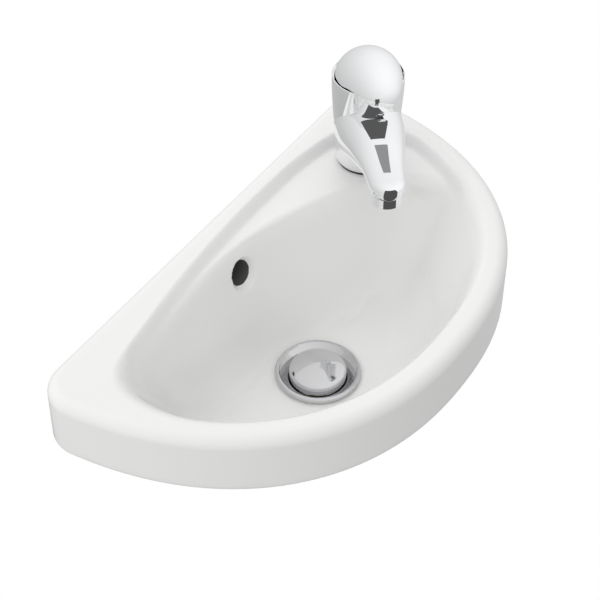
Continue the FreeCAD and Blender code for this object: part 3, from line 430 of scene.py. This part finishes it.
def mouth_loop(length, depth):
    """The bowl's edge."""
    half = length / 2
    left, back = -half + RIMS["left"], -RIMS["back"]
    tap_x, tap_y = TAP_FOOT.x, TAP_FOOT.y
    deck = [(tap_x + 12, tap_y - 64), (tap_x + 1, tap_y - 37), (tap_x - 32, tap_y - 12),
            (tap_x - 72, tap_y + 9.5), (tap_x - 118, tap_y + 23.5), (tap_x - 168, tap_y + 28.5)]
    left_end = [(left + 44, back - 18), (left + 17, back - 24), (left + 4, back - 37),
                (left, back - 62)]
    front = [rim_spot(x, RIMS["front"], length, depth)
             for x in (-176, -140, -98, -50, 0, 50, 98, 140)]
    tip = [rim_spot(163, RIMS["front"] - 1.5, length, depth)]
    return smooth_loop(deck + left_end + front + tip, MOUTH_POINTS)


def recess_loop(length, depth):
    """Upper edge of the sunken deck."""
    half, back = length / 2, -RIMS["back"]
    tap_x, tap_y = TAP_FOOT.x, TAP_FOOT.y
    left = -half + RIMS["left"]
    back_edge = [(left + 24, back - 21.5), (left + 60, back - 12.5), (left + 110, back - 5.5),
                 (-5, back - 1.5), (50, back), (tap_x - 26, back - 3), (tap_x + 12, back - 13),
                 (tap_x + 32, back - 35)]
    end = [rim_spot(x, RIMS["tap"], length, depth) for x in (190, 182, 170, 158)]
    inside = [(tap_x - 14, tap_y - 88), (tap_x - 80, tap_y - 70), (-50, -90),
              (left + 52, back - 62), (left + 24, back - 44)]
    return smooth_loop(back_edge + end + inside, RECESS_POINTS)


def inside_distance(x, y, loop):
    """Signed distance to a closed curve, positive inside it."""
    nearest = np.full(x.shape, 1e9)
    inside = np.zeros(x.shape, bool)
    for (ax, ay), (bx, by) in zip(loop, np.roll(loop, -1, axis=0)):
        dx, dy = bx - ax, by - ay
        share = np.clip(((x - ax) * dx + (y - ay) * dy) / (dx * dx + dy * dy + 1e-12), 0, 1)
        nearest = np.minimum(nearest, np.hypot(x - ax - share * dx, y - ay - share * dy))
        if dy != 0:
            crosses = (ay > y) != (by > y)
            inside ^= crosses & (x < (bx - ax) * (y - ay) / dy + ax)
    return np.where(inside, nearest, -nearest)


def soft_min(a, b, width):
    """The lower of two heights, rounded where they meet."""
    share = np.maximum(width - np.abs(a - b), 0) / width
    return np.minimum(a, b) - share * share * width * 0.25


def bowl_table(length, depth):
    """Bowl heights by angle about the waste and by share of the way from seat to mouth."""
    mouth = mouth_loop(length, depth) - np.array([WASTE.x, WASTE.y])
    bearing = np.arctan2(mouth[:, 1], mouth[:, 0])
    order = np.argsort(bearing)
    angles = np.linspace(-math.pi, math.pi, BOWL_BEARINGS)
    arms = np.interp(angles, bearing[order], np.hypot(*mouth[order].T), period=2 * math.pi)
    shares = np.linspace(0, PAST_MOUTH, BOWL_SHARES)
    rows = []
    fall = math.tan(FLOOR_FALL)
    for angle, arm in zip(angles, arms):
        run = WALL_RUN_ALONG * math.cos(angle) ** 2 + WALL_RUN_ACROSS * math.sin(angle) ** 2
        foot = arm - run
        edge = np.array([arm, 0])
        corner = np.array([foot, -BOWL_DEPTH + (foot - SEAT_RADIUS) * fall])
        end = np.array([SEAT_RADIUS, -BOWL_DEPTH])
        up, out = edge - corner, end - corner
        above = corner + up * min(WALL_BEND_LIMIT, FLOOR_ROUNDING / math.hypot(*up))
        beyond = corner + out * min(FLOOR_BEND_LIMIT, FLOOR_ROUNDING / math.hypot(*out))
        t = np.linspace(0, 1, FLOOR_BEND_POINTS)[:, None]
        bend = beyond * (1 - t) ** 2 + corner * 2 * t * (1 - t) + above * t ** 2
        over = edge + up * OVER_EDGE
        line = np.concatenate([[end], bend, [edge], [over]])
        reach = SEAT_RADIUS + shares * (arm - SEAT_RADIUS)
        rows.append(np.interp(reach, line[:, 0], line[:, 1]))
    return angles, arms, shares, np.array(rows)


def bowl_height(x, y, table):
    """Height of the bowl under the rim's level, read off its table."""
    angles, arms, shares, rows = table
    dx, dy = x - WASTE.x, y - WASTE.y
    bearing, reach = np.arctan2(dy, dx), np.hypot(dx, dy)
    arm = np.interp(bearing, angles, arms)
    share = np.clip((reach - SEAT_RADIUS) / (arm - SEAT_RADIUS), 0, shares[-1])
    row = (bearing + math.pi) / (2 * math.pi) * (len(angles) - 1)
    column = share / shares[-1] * (len(shares) - 1)
    r0 = np.clip(row.astype(int), 0, len(angles) - 2)
    c0 = np.clip(column.astype(int), 0, len(shares) - 2)
    fr, fc = row - r0, column - c0
    return ((rows[r0, c0] * (1 - fc) + rows[r0, c0 + 1] * fc) * (1 - fr)
            + (rows[r0 + 1, c0] * (1 - fc) + rows[r0 + 1, c0 + 1] * fc) * fr)


def top_height(x, y, table, recess, softness):
    """Height of the glazed top under the rim's level, away from its rounded outer edge."""
    inside = inside_distance(x, y, recess)
    share = np.clip((inside + STEP_START) / STEP_WIDTH, 0, 1)
    deck = -DECK_DROP * share * share * share * (share * (share * 6 - 15) + 10)
    return soft_min(deck, bowl_height(x, y, table), softness)


def pressed_hole(x, y, z):
    """Moves points by the overflow hole back towards the wall; returns y and the share."""
    reach = np.hypot(x - WASTE.x, (z + HOLE_DROP) * LIP_SQUEEZE)
    share = np.clip((LIP_START - reach) / LIP_WIDTH, 0, 1)
    share = share * share * (3 - 2 * share)
    near = (y > HOLE_WALL_FRONT) & (z < -DECK_DROP - HOLE_ZONE_TOP)
    share = np.where(near, share, 0)
    return y + LIP_DEPTH * share, share


def skin_rings(settings, table, recess):
    """Rings of points from the skirt's top over the rim and down to the waste."""
    length, depth = settings.length / MM, settings.depth / MM
    rounding, softness = settings.rim_rounding / MM, settings.mouth_softness / MM
    outline, normals = outline_points(length, depth, settings.around)
    rings = []
    for bend in np.linspace(0, math.pi / 2, RIM_RINGS + 1)[:-1]:
        inset = rounding * (1 - math.cos(bend))
        spots = outline + normals * inset
        height = np.full(len(spots), rounding * (math.sin(bend) - 1))
        rings.append(np.column_stack([spots, height]))
    start, waste = outline + normals * rounding, np.array([WASTE.x, WASTE.y])
    away = start - waste
    finish = away / np.hypot(*away.T)[:, None] * SKIN_END + waste
    for share in np.linspace(0, 1, settings.inward) ** RING_CROWDING:
        spots = start * (1 - share) + finish * share
        height = top_height(spots[:, 0], spots[:, 1], table, recess, softness)
        rings.append(np.column_stack([spots, height]))
    return np.array(rings)


def glazed_top(settings, table, recess):
    """Rim, deck and bowl in one skin, and the lining of the overflow hole behind it."""
    cloud = skin_rings(settings, table, recess)
    moved, share = pressed_hole(cloud[..., 0], cloud[..., 1], cloud[..., 2])
    cloud[..., 1] = moved
    dropped = share > FULLY_PRESSED
    work = bmesh.new()
    rows = [[work.verts.new((x, y, z + RIM_HEIGHT)) for x, y, z in ring] for ring in cloud]
    for level in range(len(rows) - 1):
        for index in range(settings.around):
            after = (index + 1) % settings.around
            corners = ((level, index), (level, after), (level + 1, after), (level + 1, index))
            middle = sum((rows[a][b].co for a, b in corners), Vector()) / 4
            in_tap_hole = (middle.xy - TAP_FOOT.xy).length < TAP_HOLE_RADIUS
            if in_tap_hole or all(dropped[a][b] for a, b in corners):
                continue
            work.faces.new([rows[a][b] for a, b in corners])
    loose = [vert for vert in work.verts if not vert.link_faces]
    bmesh.ops.delete(work, geom=loose, context="VERTS")
    for vert in work.verts:
        if on_lip(vert):
            scale = LIP_RADIUS / off_hole(vert.co)
            vert.co.x = WASTE.x + (vert.co.x - WASTE.x) * scale
            height = RIM_HEIGHT - HOLE_DROP
            vert.co.z = height + (vert.co.z - height) * scale
    lining = hole_lining(work)
    mesh = bpy.data.meshes.new("basin_glaze")
    bmesh.ops.transform(work, matrix=Matrix.Scale(MM, 4), verts=work.verts[:])
    work.to_mesh(mesh)
    work.free()
    return mesh, lining


def hole_lining(glaze):
    """The unglazed wall from the overflow hole's glazed lip back to the duct, later coloured near
    black as painted shade.
    """
    work = bmesh.new()
    for edge in glaze.edges:
        if edge.is_boundary and all(on_lip(vert) for vert in edge.verts):
            ends = [vert.co for vert in edge.verts]
            a, b = [work.verts.new(end) for end in ends]
            c, d = [work.verts.new((end.x, DUCT_FRONT, end.z)) for end in reversed(ends)]
            work.faces.new((a, b, c, d))
    bmesh.ops.remove_doubles(work, verts=work.verts[:], dist=WELD)
    return mesh_of("overflow_hole", work, Matrix.Scale(MM, 4))


def on_lip(vert):
    """Is a point of the skin on its open edge round the overflow hole?"""
    return vert.is_boundary and off_hole(vert.co) < HOLE_ZONE and vert.co.y < HOLE_WALL_BACK


def off_hole(spot):
    """Distance of a point from the overflow hole's axis."""
    return math.hypot(spot.x - WASTE.x, spot.z - RIM_HEIGHT + HOLE_DROP)


def underside(table, recess, softness):
    """What the CAD ceramic has under its glazed top, and apart from it the overflow duct."""
    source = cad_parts["basin_body"]
    work = bmesh.new()
    work.from_mesh(source.data)
    bmesh.ops.remove_doubles(work, verts=work.verts[:], dist=CAD_WELD)
    faces = work.faces[:]
    centres = np.array([face.calc_center_median() for face in faces]) / MM
    x, y, z = centres[:, 0], centres[:, 1], centres[:, 2] - RIM_HEIGHT
    height, bowl = top_height(x, y, table, recess, softness), bowl_height(x, y, table)
    by_bowl = (np.abs(z - bowl) < BOWL_MATCH) | (z > bowl)
    in_bowl = by_bowl & (z > -BOWL_DEPTH - SEAT_MATCH) & (bowl < -DECK_DROP - BOWL_TOP)
    top = (z > height - TOP_MATCH) | in_bowl
    rim = z > -RIM_MATCH
    bore = ((np.hypot(x - WASTE.x, z + HOLE_DROP) < BORE_RADIUS)
            & (y < DUCT_FRONT) & (y > HOLE_WALL_FRONT))
    gone = [face for face, a, b, c in zip(faces, top, rim, bore)
            if (a and face.normal.z > FACING_UP) or b or c]
    bmesh.ops.delete(work, geom=gone, context="FACES")
    meshes = []
    for name, in_duct in (("basin_underside", False), ("overflow_duct", True)):
        kept = work.copy()
        other = [face for face in kept.faces
                 if lies_in_duct(face.calc_center_median() / MM) != in_duct]
        bmesh.ops.delete(kept, geom=other, context="FACES")
        meshes.append(bpy.data.meshes.new(name))
        kept.to_mesh(meshes[-1])
        kept.free()
    work.free()
    return meshes


def lies_in_duct(spot):
    """Is a point on the walls of the overflow duct behind the bowl?"""
    return (abs(spot.x - WASTE.x) < DUCT_HALF_WIDTH
            and DUCT_SPAN[0] < spot.y < DUCT_SPAN[1]
            and DUCT_HEIGHTS[0] < spot.z < DUCT_HEIGHTS[1])


class BASIN_OT_ceramic(bpy.types.Operator):
    """Build the glazed ceramic"""

    bl_idname = "basin.ceramic"
    bl_label = "Ceramic"

    def execute(self, context):
        settings = context.scene.basin_ceramic
        length, depth = settings.length / MM, settings.depth / MM
        table, recess = bowl_table(length, depth), recess_loop(length, depth)
        glaze = glaze_material(settings.whiteness)
        mesh, lining = glazed_top(settings, table, recess)
        finish_piece("basin_glaze", mesh, "basin", ("basin_body",), glaze)
        # The duct and the hole's lining get unglazed clay painted near black, which paints in the
        # shade deep inside the overflow hole.
        bare_and_shade = plain_material("unglazed_duct_painted_shade", (0.1, 0.1, 0.1), 0.8)
        rest = [*underside(table, recess, settings.mouth_softness / MM), lining]
        for lower, material in zip(rest, (glaze, bare_and_shade, bare_and_shade)):
            piece = finish_piece(lower.name, lower, "basin",
                                 ("basin_body",), material)
            piece.data.set_sharp_from_angle(angle=SHARP_ANGLE)
        return {"FINISHED"}


# ---------------------------------------------------------------- tap
# The body: its bores, and the collar that the lever sits in.
FOOT_BORE = 17.2
CARTRIDGE_BORE = 19.8
COLLAR_START = 66.0
COLLAR_FLOOR = 70.0
COLLAR_TOP = 78.0
COLLAR_WALL = 0.8
INLETS_REACH = 17.25
INLETS_TOP = 35.9

# The spout: its sections from the body to the nozzle, and the nose beyond.
SPOUT_START = 2.0
SPOUT_SHARES = (0, 0.28, 0.55, 0.82, 1.0)
SPOUT_SECTIONS = 34
SECTION_POINTS = 72
SIDE_POWER = 0.7
TOP_POWER = 0.8
TOP_TAPER = 0.1
SPOUT_ROOT_TOP = 61.0
SPOUT_END_TOP = 54.0
SPOUT_CLEARANCE = 21.5
NOZZLE_LOW = 43.0
NOZZLE_RADIUS = 12.9
NOSE_SECTIONS = 11
NOSE_DROP = 5.0
NOSE_POWER = 1.4
NOSE_TIP = 0.02

# The lever: the height of its edge over the dome's centre, by degrees from the beak's middle.
DOME_CENTRE = 72.0
EDGE_BEARINGS = (0, 7, 14, 24, 34, 44, 52, 62, 78, 90, 105, 120, 140, 180)
EDGE_HEIGHTS = (-8, -8, -4.2, 0, 3, 5.6, 6.5, 6.6, 4.5, 1.2, 1.6, 3.2, 5.4, 6.7)
LEVER_COLUMNS = 144
LEVER_LEVELS = 44
FIRST_LEVEL = 0.02
BEAK_PULL = 0.25
BEAD_SHARES = (0.985, 0.96)
BEAD_DROP = 0.3
LINING_SHARE = 0.94
LINING_LIFT = 0.2


def spout_ring(x, half_width, low, high):
    """Section of the spout across its length: broad below, a little narrower on top."""
    middle, half_height = (low + high) / 2, (high - low) / 2
    ring = []
    for index in range(SECTION_POINTS):
        angle = 2 * math.pi * index / SECTION_POINTS
        across, up = math.cos(angle), math.sin(angle)
        across = math.copysign(abs(across) ** SIDE_POWER, across) * (1 - TOP_TAPER * up)
        up = math.copysign(abs(up) ** TOP_POWER, up)
        ring.append((x, half_width * across, middle + half_height * up))
    return ring


def spout_rings(reach, root):
    """Sections of the spout from inside the body to the tip of its nose."""
    stations = np.array(SPOUT_SHARES) * reach
    widths = [root + 2.0, root + 1.4, root - 3.2, NOZZLE_RADIUS + 1.8, NOZZLE_RADIUS]
    lows = [NOZZLE_LOW - 30, NOZZLE_LOW - 23, NOZZLE_LOW - 11, NOZZLE_LOW - 1, NOZZLE_LOW]
    highs = [SPOUT_ROOT_TOP, SPOUT_ROOT_TOP - 0.3, SPOUT_ROOT_TOP - 2.0, SPOUT_END_TOP + 1.2,
             SPOUT_END_TOP]
    rings = [spout_ring(x, *[smooth_value(x, stations, side) for side in (widths, lows, highs)])
             for x in np.linspace(SPOUT_START, reach, SPOUT_SECTIONS)]
    for turn in np.linspace(0, math.pi / 2, NOSE_SECTIONS + 1)[1:]:
        x = reach + NOZZLE_RADIUS * math.sin(turn)
        width = max(NOZZLE_RADIUS * math.cos(turn), NOSE_TIP)
        top = SPOUT_END_TOP - NOSE_DROP * (1 - math.cos(turn)) ** NOSE_POWER
        rings.append(spout_ring(x, width, NOZZLE_LOW, top))
    return rings


def smooth_value(x, stations, values):
    """A cubic through stations with slopes taken from their neighbours."""
    slopes = np.gradient(values, stations)
    index = int(np.clip(np.searchsorted(stations, x) - 1, 0, len(stations) - 2))
    gap = stations[index + 1] - stations[index]
    t = (x - stations[index]) / gap
    return (values[index] * (2 * t ** 3 - 3 * t ** 2 + 1)
            + slopes[index] * gap * (t ** 3 - 2 * t ** 2 + t)
            + values[index + 1] * (3 * t ** 2 - 2 * t ** 3)
            + slopes[index + 1] * gap * (t ** 3 - t ** 2))


def lever_rings(radius):
    """Outer skin of the lever from its top down to its edge, beak on local +X."""
    columns = []
    for index in range(LEVER_COLUMNS):
        bearing = 360 * index / LEVER_COLUMNS
        turn = min(bearing, 360 - bearing)
        low = float(np.interp(turn, EDGE_BEARINGS, EDGE_HEIGHTS))
        columns.append((math.radians(bearing), math.asin(low / radius)))
    rings = []
    for level in range(LEVER_LEVELS):
        ring = []
        for bearing, low in columns:
            fall = (math.pi / 2 - low) * max(level, FIRST_LEVEL) / (LEVER_LEVELS - 1)
            lift = math.pi / 2 - fall
            flat = radius * math.cos(lift)
            ring.append(stretched(flat * math.cos(bearing), flat * math.sin(bearing),
                                  radius * math.sin(lift), radius))
        rings.append(ring)
    return rings


def stretched(x, y, z, radius):
    """Pulls the front half of the dome out to the beak, and sets it on its centre."""
    share = max(x / radius, 0)
    pull = 1 + BEAK_PULL * share * share * (3 - 2 * share)
    return (x * pull, y, z + DOME_CENTRE)


def bores(here):
    """The CAD body's flat foot with its inlets and stud hole, and the bores over them."""
    work = bmesh.new()
    work.from_mesh(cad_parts["tap_body"].data)
    back = here.inverted()
    gone = []
    for face in work.faces:
        middle = back @ face.calc_center_median()
        if middle.xy.length > INLETS_REACH or middle.z > INLETS_TOP:
            gone.append(face)
    bmesh.ops.delete(work, geom=gone, context="FACES")
    mesh = bpy.data.meshes.new("tap_bores")
    work.to_mesh(mesh)
    work.free()
    return mesh


class BASIN_OT_tap(bpy.types.Operator):
    """Build the tap's body and spout"""

    bl_idname = "basin.tap"
    bl_label = "Tap"

    def execute(self, context):
        settings = context.scene.basin_tap
        foot, collar = settings.foot_radius / MM, settings.collar_radius / MM
        chrome = chrome_material("tap_polish", settings.roughness)
        here = placed(TAP_FOOT, SPOUT_ANGLE)
        inside = collar - COLLAR_WALL
        body = [(FOOT_BORE, 0, 0), (foot - 1, 0, 4.5), (foot, 9, 6), (collar, COLLAR_START, 10),
                (collar, COLLAR_TOP, 0.4), (inside, COLLAR_TOP, 0.2),
                (inside, COLLAR_FLOOR, 0.3), (CARTRIDGE_BORE, COLLAR_FLOOR, 0)]
        finish_piece("tap_shell", turned_mesh("tap_shell", body, here), "basin",
                     ("tap_body",), chrome)
        finish_piece("tap_bores", bores(here), "basin", ("tap_body",), chrome)
        rings = spout_rings(settings.spout_reach / MM, foot)
        spout = strip_mesh("tap_spout", rings, here, cap_last=True,
                           clear_radius=SPOUT_CLEARANCE)
        finish_piece("tap_spout", spout, "basin", ("tap_body",), chrome)
        return {"FINISHED"}


class BASIN_OT_lever(bpy.types.Operator):
    """Build the dome lever with its beak"""

    bl_idname = "basin.lever"
    bl_label = "Lever"

    def execute(self, context):
        settings = context.scene.basin_tap
        chrome = chrome_material("lever_polish", settings.roughness)
        outer = lever_rings(settings.dome_radius / MM)
        low, inward = BEAD_SHARES
        bead = [[(x * low, y * low, z - BEAD_DROP) for x, y, z in outer[-1]],
                [(x * inward, y * inward, z) for x, y, z in outer[-1]]]
        here = placed(TAP_FOOT, LEVER_ANGLE)
        mesh = strip_mesh("lever_dome", outer + bead, here)
        finish_piece("lever_dome", mesh, "lever", ("lever",), chrome)
        lift = DOME_CENTRE * (1 - LINING_SHARE) + LINING_LIFT
        inner = [[(x * LINING_SHARE, y * LINING_SHARE, z * LINING_SHARE + lift)
                  for x, y, z in ring] for ring in outer]
        inner.append(bead[-1])
        lining = strip_mesh("lever_lining", inner, here)
        cast = plain_material("bare_casting", (0.42, 0.42, 0.43), 0.5, metallic=0.6)
        finish_piece("lever_lining", lining, "lever", ("lever",), cast)
        return {"FINISHED"}


# ---------------------------------------------------------------- waste
# The plug, with its heights over the seat, and how its cap is drawn.
PLUG_TOP = 8.5
PLUG_RISE = 3.2
PLUG_SHOULDER = 3.5
PLUG_LOW = -1.7
PLUG_STEM = 3.2
CAP_POINTS = 24
CAP_START = 0.0005


class BASIN_OT_waste(bpy.types.Operator):
    """Build the waste's polished plug"""

    bl_idname = "basin.waste"
    bl_label = "Waste"

    def execute(self, context):
        settings = context.scene.basin_waste
        roughness = context.scene.basin_tap.roughness * PLUG_DULLNESS
        chrome = chrome_material("waste_polish", roughness, PLUG_TINT)
        here = placed(WASTE, 0)
        radius = settings.plug_radius / MM
        ball = (radius ** 2 + PLUG_RISE ** 2) / (2 * PLUG_RISE)
        reach = radius - PLUG_SHOULDER
        cap = [(ball * math.sin(turn), PLUG_TOP - ball + ball * math.cos(turn), 0)
               for turn in np.linspace(CAP_START, math.asin(reach / ball), CAP_POINTS)]
        profile = cap + [(radius, PLUG_TOP - PLUG_RISE, 2.6), (radius, PLUG_LOW, 0.5),
                         (PLUG_STEM, PLUG_LOW, 0)]
        finish_piece("plug_dome", turned_mesh("plug_dome", profile, here), "plug",
                     ("plug",), chrome)
        return {"FINISHED"}


# ---------------------------------------------------------------- kept CAD nodes
class BASIN_OT_trim(bpy.types.Operator):
    """Give the kept CAD pieces their materials"""

    bl_idname = "basin.trim"
    bl_label = "Trim"

    def execute(self, context):
        roughness = context.scene.basin_tap.roughness
        rubber = plain_material("black_rubber", (0.018, 0.018, 0.019), 0.65)
        pale = plain_material("pale_rubber", (0.62, 0.62, 0.6), 0.5)
        plastic = plain_material("cartridge_shell", (0.66, 0.66, 0.61), 0.4)
        hard = plain_material("disc_body", (0.8, 0.8, 0.77), 0.15, depth=0.01)
        brass = plain_material("turned_brass", (0.62, 0.42, 0.16), 0.28, metallic=1.0)
        steel = plain_material("plain_steel", (0.5, 0.5, 0.52), 0.3, metallic=1.0)
        grey = plain_material("grey_cap", (0.42, 0.43, 0.45), 0.25)
        washer = plain_material("washer_nylon", (0.7, 0.7, 0.67), 0.45)
        chrome = chrome_material("fittings_polish", roughness)
        dish = chrome_material("flange_polish", roughness * FLANGE_DULLNESS, FLANGE_TINT)
        looks = {
            chrome: ["tap_body", "aerator_ring"],
            dish: ["waste_flange"],
            rubber: ["tap_gasket", "cartridge_seals", "aerator_seal", "rubber_horseshoe",
                     "cone_washer", "plug_seal"],
            pale: ["waste_seal"],
            plastic: ["cartridge_base", "cartridge_housing", "rotor", "disc_driver"],
            hard: ["fixed_disc", "moving_disc"],
            brass: ["cartridge_nut", "spindle", "stud_nut", "fixing_stud", "backnut",
                    "click_sleeve", "plunger"],
            steel: ["pivot_pin", "grub_screw", "metal_horseshoe", "click_spring"],
            grey: ["index_cap", "aerator_insert"],
            washer: ["slip_washer"],
        }
        for material, names in looks.items():
            for name in names:
                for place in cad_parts[name].material_slots:
                    place.material = material
        return {"FINISHED"}


# ---------------------------------------------------------------- stage
# Places and sizes here are in the frame's metres, but for the cards by the tap.
CAMERA_PLACE = (-0.7482, -0.5615, 0.8907)
CAMERA_TARGET = (-0.03126, -0.10337, 0.075)
CAMERA_ROLL = math.radians(0.357)
SENSOR_WIDTH = 36
CLIP_END = 20
KEY_PLACE, KEY_SIZE = (0.85, 0.42, 1.0), (0.9, 0.7)
FILL_PLACE, FILL_SIZE = (-1.3, -0.25, 0.7), (0.8, 0.8)
LAMP_TARGET = (0, -0.1, 0.05)

# Dark cards by the tap in the spout's own millimetres, which glow dimly and paint dark reflections
# into the chrome: name, corners and shade.
CARDS = (
    ("flag_over", ((27, -12, 65), (49, -6, 64), (49, 6, 64), (27, 14, 65)), 0.1),
    ("flag_beyond", ((56, -4, 62), (82, -1, 59), (82, 5, 59), (56, 7, 62)), 0.3),
    ("flag_before", ((113, -9, 70), (111, -9, 12), (111, 19, 12), (113, 19, 70)), 0.08),
)

# The surroundings: greys below, level and above, and the way in which each pair of strengths runs.
ROOM_GREYS, MIRROR_GREYS = (0.36, 0.72, 1.0), (0.5, 0.86, 1.04)
ROOM_WAY, ROOM_STRENGTHS = (0.66, -0.75, 0), (1.24, 0.52)
MIRROR_WAY, MIRROR_STRENGTHS = (0.5, -0.86, 0), (0.74, 1.1)


def aim(thing, target, roll=0.0):
    """Points a lamp or the camera at a place."""
    line = (Vector(target) - thing.location).normalized()
    facing = line.to_track_quat("-Z", "Y").to_matrix().to_4x4()
    thing.rotation_euler = (facing @ Matrix.Rotation(roll, 4, "Z")).to_euler()


def lamp(name, place, target, size, power):
    """An area lamp that doesn't show in reflections."""
    light = bpy.data.lights.new(name, "AREA")
    light.shape = "RECTANGLE"
    light.size, light.size_y = size
    light.energy = power
    thing = bpy.data.objects.new(name, light)
    bpy.context.scene.collection.objects.link(thing)
    thing.location = place
    aim(thing, target)
    thing.visible_glossy = False
    return thing


def flag(name, corners, shade):
    """A flat card near the tap that glows dimly with its shade as a painted dark reflection; only
    reflections show it, and only from its under side.
    """
    mesh = bpy.data.meshes.new(name)
    mesh.from_pydata(corners, [], [tuple(range(len(corners)))])
    thing = bpy.data.objects.new(name, mesh)
    bpy.context.scene.collection.objects.link(thing)
    material, nodes, links, _ = new_material(name + "_paint")
    glow = nodes.new("ShaderNodeEmission")
    tune(glow, {"Color": (shade, shade, shade, 1)})
    clear = nodes.new("ShaderNodeBsdfTransparent")
    side = nodes.new("ShaderNodeNewGeometry")
    choose = nodes.new("ShaderNodeMixShader")
    links.new(side.outputs["Backfacing"], choose.inputs["Fac"])
    links.new(clear.outputs["BSDF"], choose.inputs[1])
    links.new(glow.outputs["Emission"], choose.inputs[2])
    links.new(choose.outputs["Shader"], nodes["Material Output"].inputs["Surface"])
    mesh.materials.append(material)
    thing.visible_camera = False
    thing.visible_diffuse = False
    thing.visible_shadow = False
    return thing


def tap_flags():
    """Dark cards over the spout and before the nozzle, which paint dark reflections into the
    chrome.
    """
    turn = Matrix.Translation(TAP_FOOT) @ Matrix.Rotation(SPOUT_ANGLE, 4, "Z")
    return [flag(name, [(turn @ Vector(corner)) * MM for corner in corners], shade)
            for name, corners, shade in CARDS]


def height_ramp(nodes, links, height, greys):
    """A grey that rises with the direction's height."""
    ramp = nodes.new("ShaderNodeValToRGB")
    ramp.color_ramp.elements.new(0.5)
    for stop, grey in zip(ramp.color_ramp.elements, greys):
        stop.color = (grey, grey, grey, 1)
    links.new(height, ramp.inputs["Fac"])
    return ramp.outputs["Color"]


def side_ramp(nodes, links, where, way, low, high):
    """A strength that runs from low to high along a level way."""
    facing = nodes.new("ShaderNodeVectorMath")
    facing.operation = "DOT_PRODUCT"
    facing.inputs[1].default_value = way
    links.new(where, facing.inputs[0])
    ramp = nodes.new("ShaderNodeMapRange")
    tune(ramp, {"From Min": -1.0, "To Min": low, "To Max": high})
    links.new(facing.outputs["Value"], ramp.inputs["Value"])
    return ramp.outputs["Result"]


def surroundings(nodes, links, colour, strength):
    """A background with a linked colour and strength."""
    light = nodes.new("ShaderNodeBackground")
    links.new(colour, light.inputs["Color"])
    links.new(strength, light.inputs["Strength"])
    return light.outputs["Background"]


def white_world(strength):
    """White to the camera, near white in reflections, a soft uneven room to the rest."""
    world = bpy.data.worlds.new("studio")
    bpy.context.scene.world = world
    world.use_nodes = True
    nodes, links = world.node_tree.nodes, world.node_tree.links
    nodes.clear()
    where = nodes.new("ShaderNodeTexCoord").outputs["Generated"]
    split = nodes.new("ShaderNodeSeparateXYZ")
    links.new(where, split.inputs["Vector"])
    height = nodes.new("ShaderNodeMapRange")
    tune(height, {"From Min": -1.0})
    links.new(split.outputs["Z"], height.inputs["Value"])
    lit, dim = (strength * share for share in ROOM_STRENGTHS)
    room = surroundings(nodes, links,
                        height_ramp(nodes, links, height.outputs["Result"], ROOM_GREYS),
                        side_ramp(nodes, links, where, ROOM_WAY, lit, dim))
    mirrored = surroundings(nodes, links,
                            height_ramp(nodes, links, height.outputs["Result"], MIRROR_GREYS),
                            side_ramp(nodes, links, where, MIRROR_WAY, *MIRROR_STRENGTHS))
    seen = nodes.new("ShaderNodeBackground")
    tune(seen, {"Color": (1, 1, 1, 1)})
    path = nodes.new("ShaderNodeLightPath")
    last = room
    for ray, light in (("Is Glossy Ray", mirrored),
                       ("Is Camera Ray", seen.outputs["Background"])):
        choose = nodes.new("ShaderNodeMixShader")
        links.new(path.outputs[ray], choose.inputs["Fac"])
        links.new(last, choose.inputs[1])
        links.new(light, choose.inputs[2])
        last = choose.outputs["Shader"]
    links.new(last, nodes.new("ShaderNodeOutputWorld").inputs["Surface"])


class BASIN_OT_stage(bpy.types.Operator):
    """Set up the camera, the lamps and the white surroundings"""

    bl_idname = "basin.stage"
    bl_label = "Stage"

    def execute(self, context):
        settings = context.scene.basin_stage
        scene = context.scene
        lens = bpy.data.cameras.new("camera")
        lens.lens = settings.lens
        lens.sensor_width = SENSOR_WIDTH
        lens.clip_end = CLIP_END
        camera = bpy.data.objects.new("camera", lens)
        scene.collection.objects.link(camera)
        camera.location = CAMERA_PLACE
        aim(camera, CAMERA_TARGET, CAMERA_ROLL)
        scene.camera = camera
        white_world(settings.sky)
        lamp("key", KEY_PLACE, LAMP_TARGET, KEY_SIZE, settings.key_power)
        lamp("fill", FILL_PLACE, LAMP_TARGET, FILL_SIZE, settings.fill_power)
        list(tap_flags())
        scene.view_settings.view_transform = "Standard"
        return {"FINISHED"}


class BASIN_PT_panel(bpy.types.Panel):
    """Settings and steps of the basin"""

    bl_idname = "BASIN_PT_panel"
    bl_label = "Cloakroom Basin"
    bl_space_type = "VIEW_3D"
    bl_region_type = "UI"
    bl_category = "Basin"

    def draw(self, context):
        layout = self.layout
        for group in ("basin_ceramic", "basin_tap", "basin_waste", "basin_stage"):
            settings = getattr(context.scene, group)
            for name in settings.__annotations__:
                layout.prop(settings, name)
        for operator in OPERATORS:
            layout.operator(operator.bl_idname)


GROUPS = {
    "basin_ceramic": BasinCeramicSettings,
    "basin_tap": BasinTapSettings,
    "basin_waste": BasinWasteSettings,
    "basin_stage": BasinStageSettings,
}
OPERATORS = [BASIN_OT_ceramic, BASIN_OT_tap, BASIN_OT_lever, BASIN_OT_waste, BASIN_OT_trim,
             BASIN_OT_stage]
CLASSES = [*GROUPS.values(), *OPERATORS, BASIN_PT_panel]


def register():
    for item in CLASSES:
        bpy.utils.register_class(item)
    for name, group in GROUPS.items():
        setattr(bpy.types.Scene, name, PointerProperty(type=group))


def unregister():
    for name in GROUPS:
        delattr(bpy.types.Scene, name)
    for item in reversed(CLASSES):
        bpy.utils.unregister_class(item)


def main():
    register()
    bpy.ops.basin.ceramic()
    bpy.ops.basin.tap()
    bpy.ops.basin.lever()
    bpy.ops.basin.waste()
    bpy.ops.basin.trim()
    bpy.ops.basin.stage()


if __name__ == "__main__":
    main()
